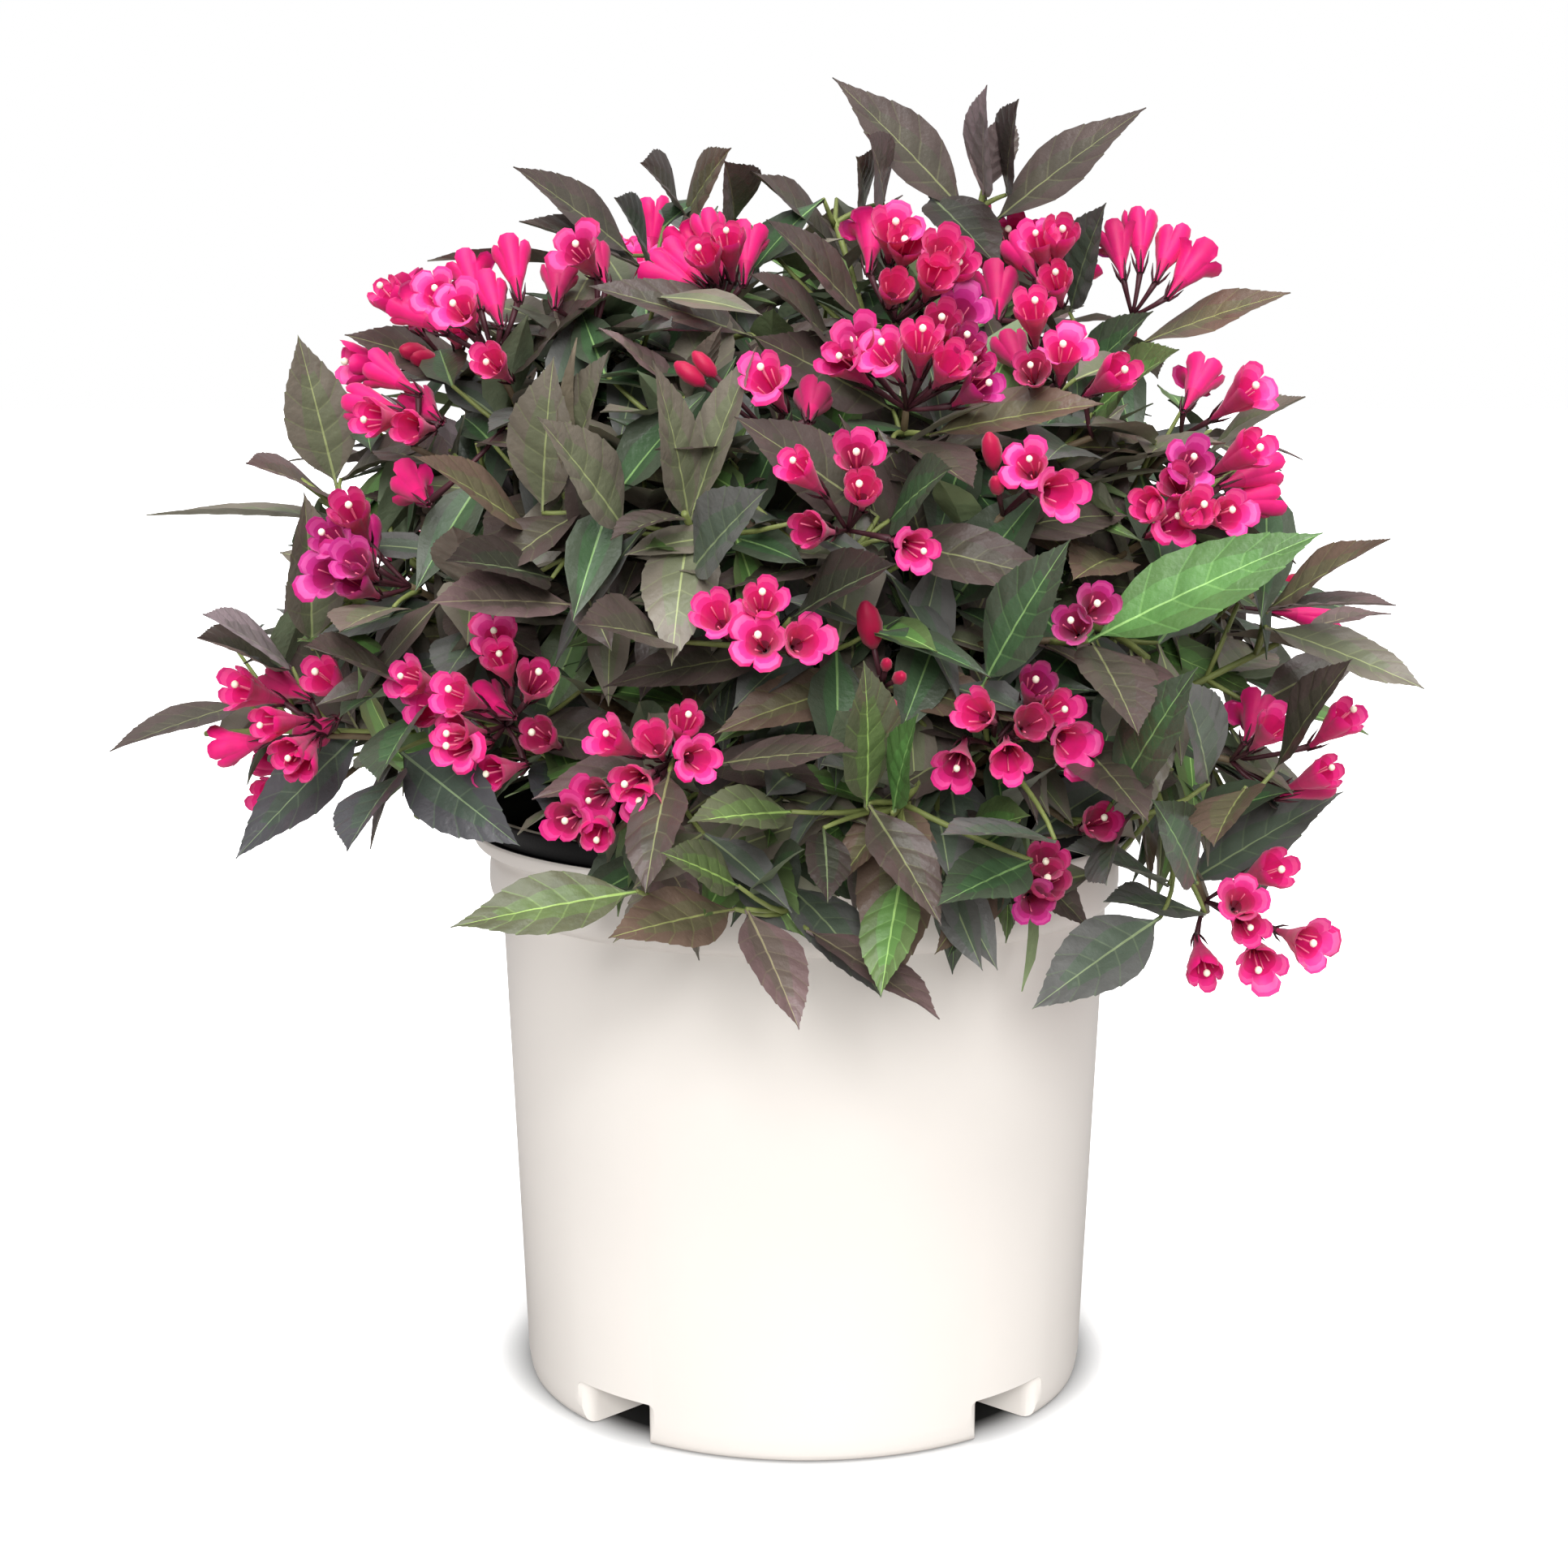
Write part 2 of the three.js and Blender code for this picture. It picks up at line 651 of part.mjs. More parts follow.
/** A planned leaf as it lies, moved by a variant's changes. */
function layLeaf(plan, { shorter = 1, higher = 0 }) {
  const along = branching(plan.along, plan.roll, plan.tilt);
  along.addScaledVector(UP, higher - plan.sag).normalize();
  const normal = plan.along.clone().multiplyScalar(0.6).addScaledVector(UP, 0.7);
  normal.addScaledVector(along, -normal.dot(along)).normalize();
  return { root: plan.point, along, normal, length: plan.length * shorter, bend: plan.bend };
}

/** The leaves of a shoot, from its tip down, in pairs that turn by a right angle. */
function planLeaves(twig, draw) {
  const leaves = [];
  const growth = twig.flowers > 0 ? UNDER_FLOWERS : AT_A_TIP;
  let at = twig.length - FLOWER_SPACING * twig.flowers - 3;
  for (let pair = 0; at > LOWEST_NODE; pair += 1) {
    const { size, tilt, next } = growth[Math.min(pair, growth.length - 1)];
    for (const side of [0, 180]) {
      leaves.push(planLeaf(twig, at / twig.length, 90 * (pair % 2) + side, size, tilt, draw));
    }
    at -= next;
  }
  return leaves;
}

/** The flowers of a cluster: one straight on, and the rest in a ring round it. */
function planFlowers(twig, draw) {
  const flowers = [];
  const turnedBy = 360 * draw();
  for (let i = 0; i < twig.flowers; i += 1) {
    const { point, along } = placeOn(twig, 1 - (FLOWER_SPACING * i + 2) / twig.length);
    const roll = turnedBy + (360 * i) / Math.max(twig.flowers - 1, 1) + 14 * (draw() - 0.5);
    const tilt = i === 0 ? 6 : CLUSTER_TILTS[i % 2] + 6 * draw();
    const length = FLOWER_LENGTH * (0.88 + 0.18 * draw());
    flowers.push({ root: point, along: branching(along, roll, tilt), length });
  }
  return flowers;
}

/** Whether a shape keeps to its mass's space. */
function keepsToSpace(shape, mass, masses) {
  const own = heading(mass.turn, mass.lift);
  return shape.corners.every((corner) => {
    const from = new THREE.Vector3().subVectors(corner, CROWN_FOOT);
    const reach = from.length();
    const way = from.divideScalar(reach);
    const lift = THREE.MathUtils.radToDeg(Math.asin(way.z));
    if (reach > crownReach(lift) || corner.z < LOWEST_LEAF) {
      return false;
    }
    const nearest = Math.min(...masses.map((other) => way.angleTo(heading(other.turn, other.lift))));
    return way.angleTo(own) < nearest + radians(SPACE_SLACK);
  });
}

const draw = lots(SEED);
const masses = [...MASSES, ...farMasses(draw)];

for (const mass of masses) {
  mass.bough = growBough(mass);
  const solid = solidOf(tube(mass.bough.points, mass.bough.radii, BOUGH_SIDES)).subtract(stumpAndGap);
  const shape = shapeFrom(solid);
  if (!thicket.isClear(shape, [])) {
    throw new Error(`the bough of ${mass.name} touches another`);
  }
  thicket.add(shape, `${mass.name} bough`);
  addNode(`bough_${mass.name}`, solid, FINISHES.stem);
}

// All twigs come before any flower, and all flowers before any leaf, so that leaves give way.
for (const mass of masses) {
  mass.stem = growStem(mass.bough);
  const shape = tube(mass.stem.points, mass.stem.radii, STEM_SIDES);
  if (!thicket.isClear(shape, [])) {
    throw new Error(`the stem of ${mass.name} touches another`);
  }
  thicket.add(shape, mass.name);
  mass.solids = [solidOf(shape)];
}

for (const mass of masses) {
  mass.twigs = [];
  mass.shoots.forEach((shoot, i) => {
    const share = 0.3 + (0.66 * i) / (mass.shoots.length - 1);
    const twig = { ...growTwig(mass.stem, shoot, share), flowers: shoot.flowers, owner: `${mass.name} ${i}` };
    const wide = tube(twig.points, twig.radii.map((radius) => radius + CLEARANCE), TWIG_SIDES);
    const kin = [mass.name, ...mass.twigs.map((other) => other.owner)];
    if (thicket.isClear(wide, kin)) {
      const shape = tube(twig.points, twig.radii, TWIG_SIDES);
      thicket.add(shape, twig.owner);
      mass.solids.push(solidOf(shape));
      mass.twigs.push(twig);
    }
  });
}

for (const mass of masses) {
  for (const twig of mass.twigs) {
    planFlowers(twig, draw).forEach((flower, i) => {
      if (thicket.isClear(funnel(flower, CLEARANCE), [twig.owner])) {
        const shape = funnel(flower, 0);
        thicket.add(shape, 'flower');
        if (i < FLOWER_SHARE * twig.flowers) {
          mass.solids.push(solidOf(shape));
        }
      }
    });
  }
}

for (const mass of masses) {
  for (const twig of mass.twigs) {
    for (const plan of planLeaves(twig, draw)) {
      const pair = `leaves at ${plan.point.x}`;
      const leaf = LEAF_VARIANTS.map((variant) => layLeaf(plan, variant)).find((tried) => {
        const room = roomFor(tried);
        return keepsToSpace(room, mass, masses) && thicket.isClear(room, [twig.owner, pair]);
      });
      if (leaf) {
        const shape = blade(leaf);
        thicket.add(shape, pair);
        mass.solids.push(solidOf(shape));
      }
    }
  }
  addNode(`foliage_${mass.name}`, wasm.Manifold.union(mass.solids), FINISHES.foliage);
}

export default plant;
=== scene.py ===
# A weigela in flower in its nursery pot. Sizes are in millimetres and angles in degrees, and the
# meshes are turned into metres when they are made. Only the camera's place and the floor are given
# in metres. The photographed side faces -Y.

import math
from collections import namedtuple

import bpy
import numpy as np
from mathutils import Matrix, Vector, noise


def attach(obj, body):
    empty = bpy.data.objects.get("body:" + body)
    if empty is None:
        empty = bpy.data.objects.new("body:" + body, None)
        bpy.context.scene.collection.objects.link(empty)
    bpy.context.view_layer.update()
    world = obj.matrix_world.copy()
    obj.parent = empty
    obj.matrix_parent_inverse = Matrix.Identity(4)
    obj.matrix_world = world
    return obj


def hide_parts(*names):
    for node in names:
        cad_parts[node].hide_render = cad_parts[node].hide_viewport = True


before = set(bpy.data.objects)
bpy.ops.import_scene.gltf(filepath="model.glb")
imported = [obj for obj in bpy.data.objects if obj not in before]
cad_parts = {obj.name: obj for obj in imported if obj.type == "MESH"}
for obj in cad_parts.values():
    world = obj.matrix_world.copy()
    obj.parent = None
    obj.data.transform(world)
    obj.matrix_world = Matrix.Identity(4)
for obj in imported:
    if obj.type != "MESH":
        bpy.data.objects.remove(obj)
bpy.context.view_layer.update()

METRE = 0.001
UP = Vector((0, 0, 1))
SIDEWAYS = Vector((1, 0, 0))

# Camera, from the pot's rim, foot and sides in the photograph. AXIS_FAR is its way to the pot's axis
# and PIXEL a pixel's length there. SIGHT_STEPS are where a line of sight is tried.
PICTURE = 1932
CAMERA_PLACE = (-0.0086, -1.108, 0.429)
CAMERA_DOWN = 8.91
CAMERA_LENS = 60.13
CAMERA_SENSOR = 36
AXIS_FAR = 1108
PIXEL = 0.343
SIGHT_STEPS = range(700, 1500, 4)
DEPTH_MARGIN = 4

# Pot, its black liner and which of the liner's rings have the pale top edge, a painted highlight
POT_HEIGHT = 240
POT_SIDES = 144
WALL = 1.8
FLOOR = 3
LIP_RADIUS = 141.5
LIP_THICKNESS = 1.6
THROAT_RADIUS = 132.6
LINER_RISE = 10
LINER_HIGHLIGHT_RINGS = range(9, 12)
BAND_RADIUS = 133.6
BAND_MIDDLE = 218
BODY_TOP = 208
BODY_TOP_RADIUS = 129.1
BODY_FOOT_RADIUS = 120.8
FOOT_RADIUS = 115
FOOT_ROUNDING = 7
NOTCH_TURNS = [-40.5, 44, 138, -142]
NOTCH_WIDTH = 43
NOTCH_HEIGHT = 18
NOTCH_DEPTH = 42
NOTCH_ROUNDING = 3
NOTCH_TUCK = 6
DRAIN_SIZE = 12
DRAIN_SIDES = 24

# Potting mix and the short stem in it
SOIL_TOP = 212
SOIL_CROWN = 3
SOIL_EDGE = 129.9
SOIL_FOOT = 60
SOIL_ROWS = 24
SOIL_SIDES = 72
SOIL_CHIPS = 900
STUMP_HEIGHT = 42
STUMP_RADIUS = 20
STUMP_SIDES = 56
FLARE_RADIUS = 25

# Crown, by the rule of the part's source. The clearances keep leaves off the pot's lip.
CROWN_FOOT = Vector((0, 0, 235))
CROWN_TOP_REACH = 318
CROWN_SIDE_REACH = 300
CROWN_HANGING_REACH = 208
HANGING_LIFT = -14
SPREADING_LIFT = 6
LOWEST_LEAF = 200
FRONT_LIMIT = -256
LIP_CLEARANCE = 3
THROAT_CLEARANCE = 6

BOUGH_REACH = 108
BOUGH_FOOT_SPREAD = 13
BOUGH_FOOT_NEAREST = 3
BOUGH_FOOT_DROP = -14
BOUGH_FOOT_RISE = 32
BOUGH_ARCH = 5
BOUGH_STEPS = 22
BOUGH_BASE_RADIUS = 3.5
BOUGH_TIP_RADIUS = 2.8
STEM_LENGTH = 36
STEM_TIP_RADIUS = 2.1
TWIG_BASE_RADIUS = 1.8
TWIG_TIP_RADIUS = 1.3
FIRST_SHOOT = 0.3
SHOOTS_ALONG = 0.66
GAP = 0.3

# Pairs of leaves from a tip down: size, tilt and the way to the next pair
LEAF_LENGTH = 72
LOWEST_NODE = 14
UNDER_FLOWERS = [(0.9, 52, 27), (1, 54, 32)]
AT_A_TIP = [(0.6, 16, 9), (0.97, 36, 27), (1, 50, 32)]
ON_FINER_TWIGS = [(0.62, 34), (0.8, 58)]
FINER_REACH = 0.86
PLANNED_WIDTH = 0.36

# A leaf's mesh, in shares of its length
LEAF_COLUMNS = 6
PETIOLE = 0.06
LEAF_WIDEST = 0.4
VEINS = 6
FIRST_VEIN = 0.08
VEIN_APART = 0.143
VEIN_SLANT = 0.7

# Leaves that stand out: their length, the shares of the crown's reach that are tried for the root, and
# how much of their width to each side stays in view
FEATURE_LENGTH = 66
FEATURE_SHARES = (0.76, 0.7, 0.64, 0.58, 0.52, 0.46, 0.82, 0.4)
SHOWN_WIDTH = 0.42

# Flowers, and a corolla's mesh: places across a lobe, stations and radii of the tube, rows of the lobes
FLOWER_LENGTH = 47
COROLLA_LENGTH = 31
STALK_LENGTH = 17
FLOWER_SPACING = 3
CLUSTER_TILTS = [32, 44]
MOUTH_PIXELS = 26
LOBES = 5
LOBE_STEPS = 6
LOBE_PLACES = [-1, -0.9, -0.5, 0, 0.5, 0.9]
TUBE_ROWS = [(0, 1.2), (0.2, 1.9), (0.38, 3.6), (0.56, 5.7), (0.72, 7.2)]
LOBE_ROWS = [0.4, 0.75, 1]

# Floor, in metres: the painted shadow that darkens its tone round the pot's foot, and the painted glow that
# lights it farther out
FLOOR_SIZE = 30
FLOOR_HEIGHT = -0.0005
FLOOR_MIDDLE = (0, 0.012, 0)
PAINTED_SHADOW_RANGE = {"From Min": 0.112, "From Max": 0.136, "To Min": 0.02, "To Max": 0.94}
PAINTED_GLOW_RANGE = {"From Min": 0.116, "From Max": 0.18, "To Min": 0, "To Max": 0.8}
FLOOR_UNSEEN = (0.46, 0.44, 0.43, 1)
WHITE = (1, 1, 1, 1)

# Studio light, brighter in front and above
SKY_SLOPE = (0.06, -0.14, 0.1)
SKY_LEVEL = 0.54

# What a seeded phase is at most, about a whole turn in radians
PHASE = 6.28
SEED = 20719


def bloom(turn, lift, reach, flowers):
    return turn, lift, reach, flowers


def leafy(turn, lift, reach):
    return turn, lift, reach, 0


MASSES = [
    ("top_right", 60, 71,
     [leafy(70, 74, 279), leafy(16, 86, 274), bloom(49, 62, 243, 5), bloom(78, 58, 256, 4)]),
    ("top_left", -42, 72,
     [leafy(-75, 81, 258), leafy(-63, 67, 268), bloom(-24, 68, 233, 7), bloom(-41, 59, 242, 2)]),
    ("front_upper_right", 22, 55,
     [bloom(22, 67, 232, 7), bloom(13, 49, 240, 8), bloom(30, 50, 241, 4), bloom(40, 46, 237, 2)]),
    ("front_upper_left", -17, 44,
     [bloom(-5, 47, 236, 2), leafy(-13, 37, 242), leafy(-28, 39, 240), leafy(-18, 52, 236)]),
    ("left_upper", -54, 49,
     [bloom(-53, 53, 249, 7), bloom(-46, 60, 248, 2), bloom(-42, 47, 242, 2), bloom(-58, 43, 244, 5)]),
    ("left_middle", -70, 34,
     [bloom(-52, 31, 222, 6), leafy(-77, 36, 258), leafy(-71, 27, 240), leafy(-38, 30, 230)]),
    ("front_middle", 9, 33,
     [bloom(4, 36, 238, 5), bloom(-4, 27, 219, 4), bloom(8, 24, 206, 3), bloom(21, 37, 240, 3),
      bloom(28, 27, 219, 2)]),
    ("right_upper", 48, 40,
     [bloom(58, 45, 241, 3), bloom(45, 36, 235, 8), leafy(66, 40, 258), leafy(36, 24, 228)]),
    ("right_low", 63, 20,
     [leafy(71, 24, 232), bloom(62, 13, 194, 5), bloom(65, -5, 178, 6), leafy(49, 4, 186)]),
    ("left_low", -54, 19,
     [bloom(-70, 14, 210, 8), leafy(-86, 10, 256), bloom(-34, 19, 208, 9), leafy(-50, 8, 196)]),
    ("front_low_left", -12, 21,
     [bloom(-14, 17, 200, 6), bloom(-23, 9, 184, 3), leafy(-17, 2, 186), leafy(-1, 0, 184)]),
    ("front_low_right", 23, 21,
     [bloom(20, 18, 202, 7), bloom(32, 9, 188, 2), bloom(26, 2, 176, 3), leafy(9, 12, 204)]),
]
FAR_MASSES = [
    ("far_upper_right", 122, 54, 76), ("far_upper_left", -118, 53, 70), ("far_upper", 178, 58, 66),
    ("far_low_right", 106, 20, 90), ("far_low_left", -106, 20, 76),
    ("far_low_behind_right", 154, 23, 72), ("far_low_behind_left", -156, 23, 72),
]
FAR_SHOOTS = 4
FAR_TURN_SPREAD = 22
FAR_LIFT_SPREAD = 15
FAR_LOWERED = 6
FAR_BLOOM_SHARE = 0.66

# Leaves and blossom are joined by these parts of the crown, which keeps each mesh a fair size.
REGIONS = {
    "top": ["top_right", "top_left", "front_upper_right", "front_upper_left"],
    "middle": ["left_upper", "left_middle", "front_middle", "right_upper"],
    "low": ["right_low", "left_low", "front_low_left", "front_low_right"],
    "far_upper": ["far_upper_right", "far_upper_left", "far_upper"],
    "far_low": ["far_low_right", "far_low_left", "far_low_behind_right", "far_low_behind_left"],
}

# Leaves that stand out in the photograph: root and tip in its pixels, width in pixels, and kind
FEATURE_LEAVES = [
    # top
    (1190, 262, 1026, 95, 75, "dark_bronze"), (1222, 275, 1412, 132, 62, "dark_bronze"),
    (1213, 250, 1215, 105, 40, "young"), (1240, 240, 1254, 122, 32, "dark_bronze"),
    (1145, 240, 1232, 330, 72, "shadowed"), (1090, 250, 1070, 165, 45, "plum"),
    (1065, 260, 1056, 193, 30, "olive"), (780, 315, 633, 205, 48, "dark_bronze"),
    (795, 330, 640, 272, 36, "dark_bronze"), (800, 325, 758, 243, 22, "grey_green"),
    (838, 260, 790, 200, 28, "dark_bronze"), (838, 278, 900, 182, 30, "brown"),
    (905, 275, 893, 198, 54, "plum"), (1040, 320, 925, 210, 38, "dark_bronze"),
    (1070, 400, 945, 270, 38, "dark_bronze"), (930, 415, 725, 352, 44, "dark_bronze"),
    (1030, 425, 925, 337, 38, "dark_bronze"), (1100, 505, 928, 414, 75, "dark_bronze"),
    (1318, 385, 1362, 250, 48, "grey_green"), (1310, 492, 1420, 383, 56, "deep_green"),
    (1345, 510, 1452, 430, 52, "mid_green"), (1400, 425, 1590, 360, 30, "brown"),
    (625, 468, 742, 365, 30, "dark_bronze"), (605, 470, 425, 412, 50, "dark_bronze"),
    # left
    (415, 600, 367, 413, 85, "olive"), (430, 640, 180, 634, 20, "olive"),
    (405, 610, 303, 570, 20, "plum"), (385, 800, 375, 607, 78, "olive"),
    (360, 822, 250, 756, 35, "young"), (350, 830, 243, 785, 25, "dark_bronze"),
    (305, 865, 135, 925, 40, "dark_bronze"), (450, 895, 290, 1058, 75, "slate"),
    (495, 950, 427, 1048, 42, "slate"), (492, 925, 640, 1042, 105, "slate"),
    (520, 872, 465, 962, 45, "deep_green"), (420, 590, 545, 545, 32, "dark_bronze"),
    (625, 652, 445, 610, 32, "dark_bronze"), (655, 655, 512, 562, 45, "brown"),
    (500, 842, 375, 795, 44, "dark_bronze"), (485, 748, 418, 778, 44, "olive"),
    (752, 902, 610, 850, 62, "grey_green"), (610, 760, 545, 840, 50, "grey_green"),
    # middle
    (668, 632, 682, 440, 80, "olive"), (700, 600, 750, 432, 60, "olive"),
    (772, 655, 662, 513, 74, "olive"), (850, 640, 932, 426, 56, "olive"),
    (645, 622, 470, 485, 50, "young"), (710, 745, 530, 742, 48, "plum"),
    (680, 712, 550, 690, 56, "shadowed"), (830, 790, 712, 768, 54, "dark_bronze"),
    (850, 705, 945, 602, 68, "grey_green"), (1085, 665, 1310, 718, 66, "dark_bronze"),
    (1082, 636, 905, 513, 90, "dark_bronze"), (1210, 845, 1318, 665, 74, "deep_green"),
    (1145, 535, 1360, 497, 48, "brown"), (1096, 641, 1172, 576, 56, "deep_green"),
    (974, 762, 1103, 694, 46, "shadowed"), (1100, 540, 1200, 600, 40, "dark_bronze"),
    # right
    (1340, 790, 1630, 656, 90, "bright_green"), (1345, 790, 1403, 905, 80, "dark_bronze"),
    (1560, 752, 1713, 663, 45, "brown"), (1555, 750, 1720, 745, 25, "plum"),
    (1560, 772, 1755, 848, 40, "olive"), (1460, 1090, 1655, 975, 80, "grey_green"),
    (1535, 970, 1495, 1042, 64, "brown"), (1430, 1130, 1272, 1243, 88, "grey_green"),
    (1485, 1125, 1360, 1110, 30, "grey_green"), (1570, 950, 1665, 812, 30, "dark_bronze"),
    (1440, 1090, 1312, 1045, 20, "grey_green"), (1370, 990, 1475, 822, 72, "deep_green"),
    (1490, 965, 1455, 835, 58, "grey_green"), (1372, 776, 1556, 860, 58, "mid_green"),
    (1322, 905, 1415, 1012, 84, "dark_bronze"), (1480, 565, 1608, 488, 30, "olive"),
    (1385, 1008, 1362, 1090, 44, "grey_green"), (1475, 1088, 1420, 985, 58, "deep_green"),
    (1345, 580, 1510, 545, 30, "olive"),
    # low front
    (785, 1098, 555, 1142, 84, "green_bronze"), (905, 1120, 750, 1155, 78, "brown"),
    (920, 1120, 985, 1268, 70, "plum"), (995, 1145, 1158, 1255, 54, "plum"),
    (1110, 1080, 1085, 1228, 74, "mid_green"), (1070, 990, 1160, 1140, 74, "dark_bronze"),
    (1272, 1060, 1155, 1115, 80, "deep_green"), (975, 1000, 848, 1012, 64, "green_bronze"),
    (825, 950, 795, 1100, 70, "dark_bronze"), (1068, 995, 1065, 815, 70, "green_bronze"),
    (890, 940, 1055, 925, 54, "dark_bronze"), (1300, 1035, 1160, 1027, 30, "grey_green"),
    (1015, 1020, 1020, 1112, 56, "shadowed"), (910, 1092, 815, 1050, 48, "green_bronze"),
    (1100, 1000, 1130, 880, 44, "bright_green"), (676, 935, 715, 1042, 74, "slate"),
]
# Places in the photograph's pixels, each with a radius, that the crown leaves open
OPENINGS = [
    (660, 1045, 30), (705, 1075, 18), (617, 1058, 16), (640, 1078, 12), (1378, 1050, 20), (1328, 1072, 10),
    (1350, 1092, 12), (1372, 1078, 12), (1408, 1078, 12), (928, 1060, 12), (540, 1085, 42), (470, 1057, 30),
    (388, 1011, 35), (300, 1090, 50), (390, 1110, 50), (480, 1130, 50), (560, 1170, 50), (440, 960, 14),
    (280, 690, 55), (222, 840, 44), (230, 700, 40), (455, 690, 14), (424, 740, 14), (530, 730, 12),
    (1513, 882, 18), (1505, 1000, 12), (1590, 930, 10), (1620, 620, 22), (1465, 425, 22), (990, 195, 52),
    (1140, 180, 16), (1305, 222, 38), (560, 240, 44), (725, 225, 34), (740, 340, 10), (1405, 1210, 24),
    (1660, 560, 44), (1684, 776, 12), (1585, 1092, 14), (1510, 1180, 14), (1647, 1223, 30), (1430, 320, 14),
    (1662, 672, 28), (1592, 700, 12), (1615, 756, 12), (1292, 1165, 14),
]
# The crown's edge in the photograph's pixels, which only the leaves that stand out go beyond
CROWN_EDGE = [
    (430, 1075), (300, 1040), (270, 960), (240, 900), (280, 800), (320, 740), (320, 640), (335, 520),
    (385, 440), (460, 400), (480, 330), (560, 290), (640, 265), (700, 225), (790, 212), (850, 190),
    (905, 185), (945, 215), (990, 265), (1040, 225), (1075, 170), (1130, 185), (1185, 195), (1210, 120),
    (1262, 130), (1290, 205), (1340, 235), (1390, 240), (1430, 250), (1500, 295), (1540, 350), (1590, 420),
    (1610, 500), (1625, 560), (1650, 640), (1710, 680), (1740, 760), (1725, 820), (1705, 900), (1690, 960),
    (1665, 1010), (1625, 1060), (1645, 1140), (1645, 1200), (1560, 1235), (1460, 1245), (1385, 1225),
    (1270, 1250), (1200, 1210), (1150, 1240), (1000, 1240), (950, 1200), (850, 1185), (740, 1175),
    (640, 1140), (600, 1100), (600, 1030), (500, 1060),
]
